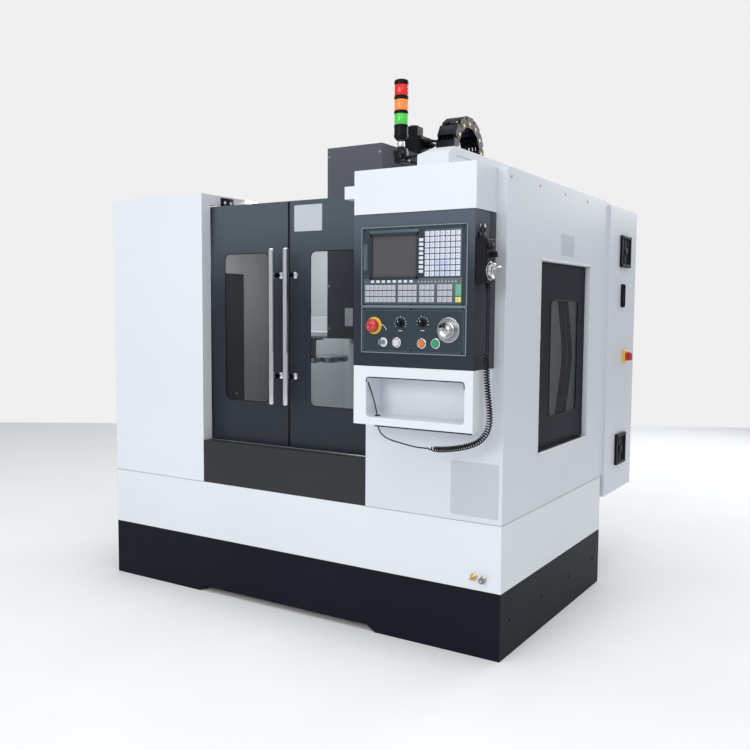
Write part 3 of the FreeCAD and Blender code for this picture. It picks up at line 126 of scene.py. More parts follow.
def spline_curve(name, points, detail):
    """A curve of one open, smooth spline with these points as its control points."""
    data = bpy.data.curves.new(name, "CURVE")
    data.dimensions = "3D"
    spline = data.splines.new("NURBS")
    spline.points.add(len(points) - 1)
    for place, point in zip(spline.points, points):
        place.co = (*point, 1.0)
    spline.order_u = 3
    spline.use_endpoint_u = True
    data.resolution_u = detail
    return data


def points_along(data):
    bare = bpy.data.objects.new("bare_line", data)
    mesh = bpy.data.meshes.new_from_object(bare)
    line = [v.co.copy() for v in mesh.vertices]
    bpy.data.meshes.remove(mesh)
    bpy.data.objects.remove(bare)
    return line


# %% Cord: the helix and the finished curve
def distances(line):
    far = [0.0]
    for a, b in zip(line, line[1:]):
        far.append(far[-1] + (b - a).length)
    return far


def nearest_distance(line, far, place):
    return min(zip(line, far), key=lambda pair: (pair[0] - place).length)[1]


def walk(line, far, wanted):
    """Points, directions and steady side vectors at the wanted distances along a line."""
    side, k, found = Vector((1, 0, 0)), 0, []
    for distance in wanted:
        while k < len(far) - 2 and far[k + 1] < distance:
            k += 1
        share = (distance - far[k]) / (far[k + 1] - far[k])
        forward = (line[k + 1] - line[k]).normalized()
        side = (side - forward * side.dot(forward)).normalized()
        found.append((line[k].lerp(line[k + 1], share), forward, side.copy()))
    return found


def winding(start, end):
    """Distances, turns and radii along the curl. It opens out towards its ends, so the wire never kinks."""
    distance, turned, found = start, 0.0, []
    while distance < end:
        share = min((distance - start) / LOOSE_SPAN, (end - distance) / LOOSE_SPAN, 1.0)
        found.append((distance, turned, CURL_R * share * share * (3 - 2 * share)))
        pitch = CURL_PITCH + (LOOSE_PITCH - CURL_PITCH) * (1 - share) ** 2
        distance += pitch / POINTS_PER_TURN
        turned += 2 * math.pi / POINTS_PER_TURN
    return found


def curly_cord():
    smooth = points_along(spline_curve("cord_route", [at(*p) for p in LEAD + CURL + TAIL], 12))
    far = distances(smooth)
    start = nearest_distance(smooth, far, at(*LEAD[-1]))
    end = nearest_distance(smooth, far, at(*CURL[-1]))
    wound = winding(start, end)
    before = start - 8 * MM
    after = end + 8 * MM
    points = [at(*p) for p in LEAD[:-1]] + [p for p, d in zip(smooth, far) if before - 6 * MM < d < before]
    for (_, turned, radius), (centre, forward, side) in zip(wound, walk(smooth, far, [w[0] for w in wound])):
        points.append(centre + radius * (math.cos(turned) * side + math.sin(turned) * forward.cross(side)))
    points += [p for p, d in zip(smooth, far) if after < d < after + 6 * MM] + [at(*p) for p in TAIL]
    data = spline_curve("pendant_cord", points, 2)
    data.bevel_depth = 1.0      # times each point's radius, because the curve's box counts that radius
    for point in data.splines[0].points:
        point.radius = CORD_R
    data.bevel_resolution = 2
    data.use_fill_caps = True
    cord = bpy.data.objects.new("pendant_cord", data)
    bpy.context.scene.collection.objects.link(cord)
    print(f"cord: {distances(points)[-1]:.3f} m in {len(points)} points")
    return cord


pendant_cord = curly_cord()
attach(pendant_cord, "machine")
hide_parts("cord_lead", "cord_curl", "cord_tail")

# %% [markdown]
# ## Finishes
#
# Each finish is a small node graph on object coordinates, in metres, so its grain has a real size. Sheet
# metal is powder coated: a faint orange peel, a slow drift of tone, and edges that the light rounds off,
# because no folded sheet has a knife edge.

# %% Finishes: shared nodes
def new_material(name):
    material = bpy.data.materials.new(name)
    material.use_nodes = True
    nodes, links = material.node_tree.nodes, material.node_tree.links
    return material, nodes, links, nodes["Principled BSDF"]


def grain(nodes, links, scale, stretch=(1, 1, 1), detail=3.0):
    """A noise on object coordinates. scale is in cycles a metre."""
    coordinates = nodes.new("ShaderNodeTexCoord")
    mapping = nodes.new("ShaderNodeMapping")
    mapping.inputs["Scale"].default_value = stretch
    noise = nodes.new("ShaderNodeTexNoise")
    noise.inputs["Scale"].default_value = scale
    noise.inputs["Detail"].default_value = detail
    links.new(coordinates.outputs["Object"], mapping.inputs["Vector"])
    links.new(mapping.outputs["Vector"], noise.inputs["Vector"])
    return noise.outputs["Fac"]


def tint(nodes, links, shader, factor, dark, light, low=0.35, high=0.65):
    ramp = nodes.new("ShaderNodeValToRGB")
    ramp.color_ramp.elements[0].position = low
    ramp.color_ramp.elements[0].color = (*dark, 1)
    ramp.color_ramp.elements[1].position = high
    ramp.color_ramp.elements[1].color = (*light, 1)
    links.new(factor, ramp.inputs["Fac"])
    links.new(ramp.outputs["Color"], shader.inputs["Base Color"])


def relief(nodes, links, shader, factor, height, strength=1.0, edge=0.0):
    """Bump of that height in metres; edge is the radius by which light rounds the edges."""
    bump = nodes.new("ShaderNodeBump")
    bump.inputs["Distance"].default_value = height
    bump.inputs["Strength"].default_value = strength
    links.new(factor, bump.inputs["Height"])
    if edge:
        rounded = nodes.new("ShaderNodeBevel")
        rounded.samples = 4
        rounded.inputs["Radius"].default_value = edge
        links.new(rounded.outputs["Normal"], bump.inputs["Normal"])
    links.new(bump.outputs["Normal"], shader.inputs["Normal"])


def scaled(colour, k):
    return tuple(min(1.0, c * k) for c in colour)


# The mask of the painted sheen in paint().
def height_share(nodes, links, low, high):
    """Runs from 0 to 1 between two heights in metres, a little unevenly."""
    coordinates = nodes.new("ShaderNodeTexCoord")
    split = nodes.new("ShaderNodeSeparateXYZ")
    climb = nodes.new("ShaderNodeMapRange")
    climb.interpolation_type = "SMOOTHSTEP"
    climb.inputs["From Min"].default_value = low
    climb.inputs["From Max"].default_value = high
    uneven = nodes.new("ShaderNodeMath")
    uneven.operation = "MULTIPLY_ADD"
    uneven.inputs[1].default_value = 0.08
    links.new(coordinates.outputs["Object"], split.inputs["Vector"])
    links.new(split.outputs["Z"], climb.inputs["Value"])
    links.new(grain(nodes, links, 1.3), uneven.inputs[0])
    links.new(climb.outputs["Result"], uneven.inputs[2])
    return uneven.outputs["Value"]


# %% Finishes: paint, metal, plastic, glass
def paint(name, colour, roughness=0.38, drift=0.03, coat=0.0, edge=1.6 * MM, gloss=0.5, painted_sheen=None):
    """A powder coat. The last argument is a painted sheen: (low height, high height, colour up there)."""
    material, nodes, links, shader = new_material(name)
    if painted_sheen:
        low, high, top = painted_sheen
        tint(nodes, links, shader, height_share(nodes, links, low, high), colour, top, 0.0, 1.0)
    else:
        tint(nodes, links, shader, grain(nodes, links, 1.3), scaled(colour, 1 - drift),
             scaled(colour, 1 + drift))
    relief(nodes, links, shader, grain(nodes, links, 520.0), 0.00012, 0.35, edge)
    shader.inputs["Roughness"].default_value = roughness
    shader.inputs["Specular IOR Level"].default_value = gloss
    shader.inputs["Coat Weight"].default_value = coat
    shader.inputs["Coat Roughness"].default_value = 0.12
    return material


def casting(name, colour, roughness=0.55):
    material, nodes, links, shader = new_material(name)
    tint(nodes, links, shader, grain(nodes, links, 9.0, detail=6.0), scaled(colour, 0.975),
         scaled(colour, 1.02))
    relief(nodes, links, shader, grain(nodes, links, 160.0, detail=5.0), 0.0006, 0.6, 2.5 * MM)
    shader.inputs["Roughness"].default_value = roughness
    return material


def metal(name, colour, roughness, stretch=(1, 1, 1), scale=900.0, height=0.00004):
    material, nodes, links, shader = new_material(name)
    lines = grain(nodes, links, scale, stretch)
    tint(nodes, links, shader, lines, scaled(colour, 0.86), scaled(colour, 1.06))
    relief(nodes, links, shader, lines, height, 0.5, 0.5 * MM)
    shader.inputs["Metallic"].default_value = 1.0
    shader.inputs["Roughness"].default_value = roughness
    return material


def plastic(name, colour, roughness=0.4, grip=0.00008, scale=1400.0, coat=0.0, gloss=0.5):
    material, nodes, links, shader = new_material(name)
    cells = grain(nodes, links, scale, detail=2.0)
    tint(nodes, links, shader, cells, scaled(colour, 0.85), scaled(colour, 1.12))
    relief(nodes, links, shader, cells, grip, 0.5, 0.4 * MM)
    shader.inputs["Roughness"].default_value = roughness
    shader.inputs["Specular IOR Level"].default_value = gloss
    shader.inputs["Coat Weight"].default_value = coat
    shader.inputs["Coat Roughness"].default_value = 0.06
    return material


def pane_glass(name, colour, see_through):
    material, nodes, links, shader = new_material(name)
    tint(nodes, links, shader, grain(nodes, links, 3.0), scaled(colour, 0.92), scaled(colour, 1.05))
    shader.inputs["Roughness"].default_value = 0.04
    shader.inputs["Alpha"].default_value = 1 - see_through
    shader.inputs["IOR"].default_value = 1.5
    return material


def lens_glass(name, colour, glow):
    material, nodes, links, shader = new_material(name)
    tint(nodes, links, shader, grain(nodes, links, 260.0, (1, 1, 0.02)), scaled(colour, 0.7), colour)
    shader.inputs["Roughness"].default_value = 0.16
    shader.inputs["Transmission Weight"].default_value = 0.25
    shader.inputs["Coat Weight"].default_value = 0.6
    shader.inputs["Emission Color"].default_value = (*colour, 1)
    shader.inputs["Emission Strength"].default_value = glow
    return material


# %% Finishes: the list
WHITE = paint("white powder coat", (0.73, 0.76, 0.81), 0.34, 0.012, gloss=0.35)
# A darker, bluer copy of the white coat: painted shade for the right side, the rear and the cabinet.
SHADED_WHITE = paint("white powder coat with painted shade", (0.66, 0.69, 0.75), 0.36, 0.02, gloss=0.3)
BASE_DARK = paint("base paint", (0.007, 0.009, 0.016), 0.46, 0.10, gloss=0.08)
# Painted sheen: the door coat is painted lighter towards the top.
DOOR_DARK = paint("door powder coat", (0.020, 0.025, 0.037), 0.25, 0.06, gloss=0.22,
                  painted_sheen=(1.25, 1.7, (0.075, 0.095, 0.115)))
# A darker, duller copy of the door coat: painted shade for the service door in the right side.
SHADED_DOOR_DARK = paint("door coat with painted shade", (0.009, 0.012, 0.020), 0.40, 0.06, gloss=0.05)
# Painted sheen: the station coat is painted lighter towards the top.
STATION = paint("station powder coat", (0.022, 0.027, 0.040), 0.36, 0.05, gloss=0.15,
                painted_sheen=(1.35, 1.62, (0.085, 0.105, 0.135)))
STATION_LIGHT = paint("station frame paint", (0.050, 0.055, 0.070), 0.4, 0.05, gloss=0.2)
LOWER_PANEL = paint("lower front panel", (0.028, 0.030, 0.033), 0.34, 0.05, gloss=0.2)
# Painted sheen: the head cover's coat is painted lighter towards the top.
HEAD_DARK = paint("head cover paint", (0.030, 0.038, 0.050), 0.5, 0.05, gloss=0.2,
                  painted_sheen=(1.5, 1.95, (0.100, 0.105, 0.130)))
SEALANT = paint("joint sealant", (0.34, 0.36, 0.40), 0.6, 0.05)
PLATE_WHITE = paint("anodised plate", (0.50, 0.54, 0.60), 0.3, 0.01, coat=0.2, edge=0.3 * MM)
LINER = paint("chamber liner", (0.26, 0.27, 0.275), 0.4, 0.06, gloss=0.3)
LINER_PALE = paint("pale chamber liner", (0.50, 0.56, 0.58), 0.4, 0.05, gloss=0.3)
PANEL_BLACK = paint("service panel paint", (0.006, 0.007, 0.011), 0.4, 0.05, gloss=0.2)
FILM = plastic("keypad film", (0.028, 0.043, 0.056), 0.42, 0.00005, gloss=0.2)
FILM_DARK = plastic("bezel film", (0.020, 0.028, 0.036), 0.36, 0.00005, gloss=0.3)
FILM_EDGE = plastic("plate edge", (0.20, 0.23, 0.27), 0.36, 0.00005, gloss=0.3)
FILM_LIGHT = plastic("keypad frame", (0.075, 0.098, 0.118), 0.38, 0.00005, gloss=0.3)
SCREEN = plastic("screen", (0.082, 0.078, 0.084), 0.20, 0.00001, 400.0, gloss=0.3)
KEY_WHITE = plastic("white keys", (0.66, 0.70, 0.80), 0.35)
KEY_LILAC = plastic("lilac keys", (0.56, 0.62, 0.80), 0.35)
KEY_GREY = plastic("grey keys", (0.46, 0.47, 0.53), 0.35)
KEY_GREEN = plastic("green keys", (0.12, 0.42, 0.26), 0.35)
KEY_YELLOW = plastic("yellow keys", (0.72, 0.68, 0.14), 0.35)
MARK = plastic("printed marks", (0.78, 0.80, 0.82), 0.5)
LEGEND = plastic("key legends", (0.20, 0.23, 0.30), 0.5)
BLACK = plastic("black plastic", (0.006, 0.007, 0.010), 0.40, gloss=0.12)
SATIN_BLACK = plastic("satin black", (0.006, 0.007, 0.009), 0.28, 0.00003, 900.0, gloss=0.22)
JACKET = plastic("cord jacket", (0.005, 0.005, 0.006), 0.22, 0.00002, 900.0, gloss=0.35)
CHAIN_BLACK = plastic("chain nylon", (0.006, 0.008, 0.014), 0.34, gloss=0.15)
RUBBER = plastic("black rubber", (0.006, 0.006, 0.007), 0.46, 0.0001, 700.0, gloss=0.15)
RED = plastic("red plastic", (0.50, 0.022, 0.020), 0.30, coat=0.3)
YELLOW = plastic("yellow plastic", (0.82, 0.52, 0.05), 0.33, coat=0.2)
ORANGE_CAP = plastic("orange cap", (0.72, 0.16, 0.03), 0.25, coat=0.4)
GREEN_CAP = plastic("green cap", (0.02, 0.30, 0.13), 0.25, coat=0.4)
WHITE_CAP = plastic("white cap", (0.62, 0.63, 0.65), 0.25, coat=0.4)
BLUE_CAP = plastic("blue cap", (0.05, 0.22, 0.62), 0.3, coat=0.3)
CHROME = metal("polished chrome", (0.86, 0.87, 0.89), 0.07, (1, 1, 0.05), 300.0, 0.000005)
SILVER = metal("turned aluminium", (0.52, 0.53, 0.55), 0.22)
STEEL = metal("ground steel", (0.56, 0.57, 0.59), 0.30, (0.03, 1, 1), 1200.0)
ZINC = metal("galvanised steel", (0.50, 0.52, 0.55), 0.42, (1, 1, 1), 60.0, 0.00003)
BRASS = metal("brass", (0.72, 0.52, 0.24), 0.28)
CAST = casting("painted casting", (0.50, 0.52, 0.56))
TABLE_IRON = metal("scraped iron", (0.36, 0.37, 0.38), 0.36, (1, 0.06, 1), 700.0, 0.00006)
GLASS = pane_glass("window glass", (0.03, 0.033, 0.035), 0.84)
LENS_RED = lens_glass("red lens", (0.72, 0.018, 0.016), 0.32)
LENS_AMBER = lens_glass("amber lens", (0.88, 0.27, 0.06), 0.40)
LENS_GREEN = lens_glass("green lens", (0.08, 0.56, 0.08), 0.38)
print("finishes:", len(bpy.data.materials))

# %% [markdown]
# The frame's nodes already have the right shape where they are plain sheet or casting. They only need
# their finish, so a table says which node gets which.

# %% Finishes on the frame's own nodes
NODE_FINISH = {
    WHITE: ("apron_panels", "left_housing", "control_hood", "pocket_box", "cable_duct"),
    # The right housing, the rear and the cabinet carry the white coat's painted shade.
    SHADED_WHITE: ("right_housing", "rear_panels", "cabinet_shell", "cabinet_door"),
    BASE_DARK: ("base_skirt",),
    DOOR_DARK: ("left_door", "right_door", "right_side_door"),
    STATION: ("control_box",),
    LOWER_PANEL: ("lower_front_panel",),
    HEAD_DARK: ("head_cover",),
    ZINC: ("door_rails", "magazine_carriage"),
    FILM: ("cnc_panel", "operator_panel"),
    SCREEN: ("lcd_screen",),
    GLASS: ("left_door_pane", "right_door_pane", "right_side_pane"),
    CHROME: ("left_door_handle", "right_door_handle"),
    BLACK: ("light_stand", "pendant_body", "axis_motors", "spindle_motor"),
    RUBBER: ("inner_hoses",),
    CAST: ("bed_casting", "saddle_casting", "column_casting", "head_casting", "magazine_arm"),
    TABLE_IRON: ("work_table",),
    STEEL: ("spindle", "y_screw", "z_screw"),
    SILVER: ("magazine_disc",),
}


def coat(piece, material):
    piece.data.materials.clear()
    piece.data.materials.append(material)
    return piece


for material, names in NODE_FINISH.items():
    for name in names:
        coat(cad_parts[name], material)
coat(pendant_cord, JACKET)

# %% [markdown]
# ## Tools of the trade
#
# Every new piece starts as a primitive at its size and place, is shaped with edit-mode operators, and gets
# its edges broken by a bevel. These helpers are the few moves that the rest of the lesson repeats. Each
# one first deselects everything, because operators act on all that is selected.

# %% Helpers: start, settle, choose
def begin():
    if bpy.context.object and bpy.context.object.mode != "OBJECT":
        bpy.ops.object.mode_set(mode="OBJECT")
    bpy.ops.object.select_all(action="DESELECT")


def settle(name):
    """Names the new piece and moves its place, turn and size into its mesh."""
    piece = bpy.context.object
    piece.name = name
    bpy.ops.object.transform_apply(location=True, rotation=True, scale=True)
    return piece


def choose(piece, kind, test):
    """Goes into edit mode and selects the faces or edges that pass the test."""
    begin()
    piece.select_set(True)
    bpy.context.view_layer.objects.active = piece
    bpy.ops.object.mode_set(mode="EDIT")
    bpy.ops.mesh.select_mode(type=kind)
    bpy.ops.mesh.select_all(action="DESELECT")
    shape = bmesh.from_edit_mesh(piece.data)
    for part in shape.faces if kind == "FACE" else shape.edges:
        if test(part):
            part.select_set(True)
    bmesh.update_edit_mesh(piece.data)


def done():
    bpy.ops.object.mode_set(mode="OBJECT")


def apply(piece, modifier):
    begin()
    piece.select_set(True)
    bpy.context.view_layer.objects.active = piece
    bpy.ops.object.modifier_apply(modifier=modifier.name)


def soften(piece, width, segments=2, angle=35.0):
    """Breaks the edges that are sharper than the angle, and shades the rest smooth."""
    edges = piece.modifiers.new("edges", "BEVEL")
    edges.width = width
    edges.segments = segments
    edges.limit_method = "ANGLE"
    edges.angle_limit = math.radians(angle)
    apply(piece, edges)
    bpy.ops.object.shade_smooth_by_angle(angle=math.radians(38))
    return piece


# %% Helpers: blocks, rods, frames
def slab(name, low, high, edge=0.6):
    """A block between two corners, in millimetres, with broken edges."""
    begin()
    a, b = at(*low), at(*high)
    bpy.ops.mesh.primitive_cube_add(size=1, location=(a + b) / 2, scale=b - a)
    piece = settle(name)
    return soften(piece, edge * MM) if edge else piece


def rod(name, start, end, radius, sides=40, edge=0.5, tip=None):
    """A turned pin between two places, tapered to the tip radius if one is given."""
    begin()
    a, b = at(*start), at(*end)
    turn_to = (b - a).to_track_quat("Z", "Y").to_euler()
    tip = radius if tip is None else tip
    bpy.ops.mesh.primitive_cone_add(vertices=sides, radius1=radius * MM, radius2=tip * MM,
                                    depth=(b - a).length, location=(a + b) / 2, rotation=turn_to)
    piece = settle(name)
    return soften(piece, edge * MM) if edge else piece


def ring(name, centre, normal, radius, wire, sides=48, wire_sides=12):
    begin()
    turn_to = Vector(normal).to_track_quat("Z", "Y").to_euler()
    bpy.ops.mesh.primitive_torus_add(major_segments=sides, minor_segments=wire_sides,
                                     major_radius=radius * MM, minor_radius=wire * MM, location=at(*centre),
                                     rotation=turn_to)
    piece = settle(name)
    bpy.ops.object.shade_smooth()
    return piece


def border(name, low, high, axis, corner, width, edge=0.5):
    """A flat frame with rounded corners round an opening. axis is 0, 1 or 2: the way through it."""
    piece = slab(name, low, high, 0)

    def along(e):
        step = e.verts[0].co - e.verts[1].co
        return abs(step[axis]) > 0.9 * step.length
    choose(piece, "EDGE", along)
    bpy.ops.mesh.bevel(offset=corner * MM, segments=8)
    done()
    choose(piece, "FACE", lambda f: abs(f.normal[axis]) > 0.9)
    bpy.ops.mesh.inset(thickness=width * MM)
    bpy.ops.mesh.bridge_edge_loops()
    done()
    return soften(piece, edge * MM) if edge else piece


def repeat(piece, count, step):
    """Copies the piece along a straight step, in millimetres, into the same mesh."""
    row = piece.modifiers.new("row", "ARRAY")
    row.count = count
    row.use_relative_offset = False
    row.use_constant_offset = True
    row.constant_offset_displace = [s * MM for s in step]
    apply(piece, row)
    return piece


def about(place, turn):
    """A turn about a place instead of about the origin."""
    return Matrix.Translation(place) @ turn @ Matrix.Translation(-place)


def spin_copies(piece, count, centre, axis, angle):
    """Joins copies of the piece, each turned on about an axis through the centre."""
    copies = [piece]
    for k in range(1, count):
        copy = piece.copy()
        copy.data = piece.data.copy()
        bpy.context.scene.collection.objects.link(copy)
        turned = Matrix.Rotation(angle * k, 4, Vector(axis))
        place = at(*centre)
        copy.data.transform(about(place, turned))
        copies.append(copy)
    return join(piece.name, copies)


def join(name, pieces):
    begin()
    for piece in pieces:
        piece.select_set(True)
    bpy.context.view_layer.objects.active = pieces[0]
    if len(pieces) > 1:
        bpy.ops.object.join()
    pieces[0].name = name
    return pieces[0]


def fit(piece, body, material, slot, *nodes):
    """Coats a finished piece, lets it ride on its body and says which nodes it stands for."""
    coat(piece, material)
    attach(piece, body)
    if nodes:
        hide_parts(*nodes)
    return piece

# %% [markdown]
# ## Folded sheet
#
# The frame's sheets have knife edges, and a press brake never leaves one. Each big panel is therefore
# shown by a copy of its node: the loose triangles are merged, flat areas become single faces, and a small
# bevel breaks the edges so that they catch a line of light. The node itself stays for the collision.

# %% Panels with broken edges
def dress(node, material, slot, body="machine", width=1.1):
    begin()
    piece = bpy.data.objects.new("dressed_" + node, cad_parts[node].data.copy())
    bpy.context.scene.collection.objects.link(piece)
    choose(piece, "FACE", lambda f: True)
    bpy.ops.mesh.select_all(action="SELECT")
    bpy.ops.mesh.remove_doubles(threshold=0.00002)
    bpy.ops.mesh.dissolve_limited(angle_limit=math.radians(1.0))
    done()
    edges = piece.modifiers.new("edges", "BEVEL")
    edges.width = width * MM
    edges.segments = 2
    edges.limit_method = "ANGLE"
    edges.angle_limit = math.radians(40)
    edges.use_clamp_overlap = False
    apply(piece, edges)
    bpy.ops.object.shade_smooth_by_angle(angle=math.radians(42))
    flat = piece.modifiers.new("flat faces stay flat", "WEIGHTED_NORMAL")
    flat.mode = "FACE_AREA"
    flat.weight = 100
    flat.keep_sharp = True
    apply(piece, flat)
    return fit(piece, body, material, slot, node)


PANELS = (
    ("base_skirt", BASE_DARK, "base_paint", "machine"),
    ("apron_panels", WHITE, "white_paint", "machine"),
    ("left_housing", WHITE, "white_paint", "machine"),
    # The right housing, the rear and the cabinet get the white coat with painted shade.
    ("right_housing", SHADED_WHITE, "side_grey_paint", "machine"),
    ("rear_panels", SHADED_WHITE, "side_grey_paint", "machine"),
    ("lower_front_panel", LOWER_PANEL, "panel_grey_paint", "machine"),
    ("control_hood", WHITE, "white_paint", "machine"),
    ("control_box", STATION, "control_paint", "machine"),
    ("pocket_box", WHITE, "white_paint", "machine"),
    ("cable_duct", WHITE, "white_paint", "machine"),
    ("cabinet_shell", SHADED_WHITE, "side_grey_paint", "machine"),
    ("cabinet_door", SHADED_WHITE, "side_grey_paint", "cabinet_door"),
    ("left_door", DOOR_DARK, "door_paint", "left_door"),
    ("right_door", DOOR_DARK, "door_paint", "right_door"),
    # The service door gets the door coat with painted shade.
    ("right_side_door", SHADED_DOOR_DARK, "door_paint", "side_door"),
    ("head_cover", HEAD_DARK, "control_paint", "head"),
)
for node, material, slot, body in PANELS:
    piece = dress(node, material, slot, body)
    print(f"{piece.name}: {len(piece.data.polygons)} faces")

# %% [markdown]
# ## Screws
#
# One screw head serves the whole machine: a low button with a hexagon socket. It is turned once, its socket
# is pressed in with an inset and a push, and then it is copied to every place in a list.

# %% Screws
def screws(name, places, normal, radius, body, material=None, height=2.2):
    """Button-head screws on these places. They stand on a face whose outward direction is normal."""
    out = Vector(normal)
    heads = []
    for number, place in enumerate(places):
        low = Vector(place)
        head = rod(f"{name}_{number}", low, low + out * height, radius, 20, 0)
        choose(head, "FACE", lambda f: f.normal.dot(out) > 0.9)
        bpy.ops.mesh.inset(thickness=radius * 0.28 * MM)
        bpy.ops.transform.translate(value=out * 0.35 * MM)
        bpy.ops.mesh.inset(thickness=radius * 0.22 * MM)
        bpy.ops.transform.translate(value=-out * 1.3 * MM)
        done()
        heads.append(soften(head, 0.25 * MM, 1, 50))
    return fit(join(name, heads), body, material or BLACK, "black_plastic")


def line_up(start, end, count):
    a, b = Vector(start), Vector(end)
    return [a.lerp(b, k / (count - 1)) for k in range(count)]


# %% [markdown]
# ## Seams and fixings of the enclosure
#
# The enclosure is bolted together from panels. What tells the eye so are thin dark joints, a few screws
# and the lighter return that stands round the service door. The joints are narrow strips of sealant.

# %% Joints and screws of the enclosure
(HOUSE_X0, _, HOUSE_Z0), _ = inside("left_housing")
_, (HOUSE_X1, HOUSE_Y1, _) = inside("right_housing")
SEAM = 0.8      # how far a joint's filler stands proud
joints = [slab("seam_apron_left", (HOUSE_X0 + 2, -SEAM, HOUSE_Z0 - 1.2), (-438, 0, HOUSE_Z0 + 1.2), 0.3),
          slab("seam_apron_right", (419, -SEAM, HOUSE_Z0 - 1.2), (HOUSE_X1 - 2, 0, HOUSE_Z0 + 1.2), 0.3),
          slab("seam_apron_side", (HOUSE_X1, 2, HOUSE_Z0 - 1.2),
               (HOUSE_X1 + SEAM, HOUSE_Y1 - 22, HOUSE_Z0 + 1.2), 0.3),
          slab("seam_apron_far", (HOUSE_X0 - SEAM, 2, HOUSE_Z0 - 1.2),
               (HOUSE_X0, HOUSE_Y1 - 22, HOUSE_Z0 + 1.2), 0.3)]
fit(join("panel_joints", joints), "machine", SEALANT, "side_grey_paint")
base_top = inside("base_skirt")[1][2]
ledge = slab("base_joint", (-999, -1.0, base_top - 4), (999, 0, base_top + 1.2), 0.4)
fit(ledge, "machine", BLACK, "black_plastic")
foot = line_up((HOUSE_X1, 90, 130), (HOUSE_X1, 1040, 130), 4)
screws("base_screws", foot, (1, 0, 0), 6, "machine")
screws("side_screws", line_up((HOUSE_X1, 30, 1740), (HOUSE_X1, HOUSE_Y1 - 30, 1740), 5), (1, 0, 0), 5,
       "machine", SILVER)
screws("left_side_screws", line_up((HOUSE_X0, 30, 1740), (HOUSE_X0, HOUSE_Y1 - 30, 1740), 5), (-1, 0, 0), 5,
       "machine", SILVER, 0.8)
screws("rear_screws", line_up((-960, HOUSE_Y1 + 3, 1740), (-260, HOUSE_Y1 + 3, 1740), 5)
       + line_up((-960, HOUSE_Y1 + 3, 540), (-260, HOUSE_Y1 + 3, 540), 5), (0, 1, 0), 5, "machine", SILVER)
print("joints and screws are on")

# %% [markdown]
# The blank plates stand where a maker would rivet its notices. They are thin anodised sheets with round
# corners, and they say nothing.

# %% Blank plates
def plate(name, low, high, axis, body, material=None):
    """A thin plate with rounded corners. axis is the way it faces: 0 or 1."""
    piece = slab(name, low, high, 0)

    def across(e):
        step = e.verts[0].co - e.verts[1].co
        return abs(step[axis]) > 0.9 * step.length
    choose(piece, "EDGE", across)
    bpy.ops.mesh.bevel(offset=5 * MM, segments=5)
    done()
    return fit(soften(piece, 0.3 * MM, 1), body, material or PLATE_WHITE, "white_plastic")


plate("blank_plate_front", (794, -0.9, 522), (986, 0, 721), 1, "machine")
plate("blank_plate_side", (HOUSE_X1, 543, 1495), (HOUSE_X1 + 0.9, 691, 1579), 0, "machine")
door_y = inside("right_door")[0][1]
plate("blank_plate_door", (12, door_y - 0.9, 1592), (154, door_y, 1700), 1, "right_door")
plate("blank_plate_head", (-48, inside("head_cover")[0][1] - 0.9, 1193),
      (-3, inside("head_cover")[0][1], 1277), 1, "head")
print("blank plates are on")

# %% [markdown]
# ## Front doors
#
# Each leaf carries a laminated pane in a rubber seal and a long chromed bar on two stand-offs. The bars
# are turned tube with domed caps. A black clamp holds each stand-off, and a rubber lip closes the joint
# between the leaves.

# %% Seals and lips
SEAL = 4.0
for side in ("left", "right"):
    (x0, y0, z0), (x1, _, z1) = inside(side + "_door")
    (p0, pane_y, q0), (p1, _, q1) = inside(side + "_door_pane")
    LAP = 18.0        # the pane laps behind the leaf by this much
    seal = border(side + "_door_seal", (p0 + LAP - 1, y0 + 0.6, q0 + LAP - 1),
                  (p1 - LAP + 1, pane_y, q1 - LAP + 1), 1, 28, SEAL, 0.4)
    fit(seal, side + "_door", RUBBER, "black_plastic")
    edge = x1 if side == "left" else x0
    lip_x = sorted((edge, edge - 4 if side == "left" else edge + 4))
    lip = slab(side + "_door_lip", (lip_x[0], y0 - 3, z0 + 3), (lip_x[1], y0, z1 - 3), 1.0)
    fit(lip, side + "_door", RUBBER, "black_plastic")
print("door seals and lips are on")


# %% Chromed handles
def chromed_handle(side):
    (x0, y0, z0), (x1, y1, z1) = inside(side + "_door_handle")
    x, radius = (x0 + x1) / 2, (x1 - x0) / 2
    y = y0 + radius
    bar = rod(side + "_bar", (x, y, z0 + 4), (x, y, z1 - 4), radius, 48, 0)
    for low, high, tip in ((z1 - 4, z1, radius - 3), (z0 + 4, z0, radius - 3)):
        cap = rod("cap", (x, y, low), (x, y, high), radius + 0.4, 48, 0.8, tip)
        bar = join(side + "_bar", [bar, cap])
    fit(bar, side + "_door", CHROME, "polished_chrome", side + "_door_handle")
    posts, clamps = [], []
    for z in (z0 + 118, z1 - 109):
        posts.append(rod("post", (x, y, z), (x, y1 - 6, z), 6.5, 32, 0.4))
        posts.append(rod("washer", (x, y1 - 7, z), (x, y1, z), 14, 40, 1.4))
        clamps.append(rod("collar", (x, y + 12.2, z), (x, y + 44, z), 10.5, 32, 1.2))
    fit(join(side + "_posts", posts), side + "_door", CHROME, "polished_chrome")
    fit(join(side + "_clamps", clamps), side + "_door", SATIN_BLACK, "black_plastic")


for side in ("left", "right"):
    chromed_handle(side)
print("handles: two bars with four stand-offs")

# %% [markdown]
# The doors hang on rollers from a beam. A black bracket at its left end shows above the door, with two
# bright screws. The sill below has a wiper strip and a bright guide.

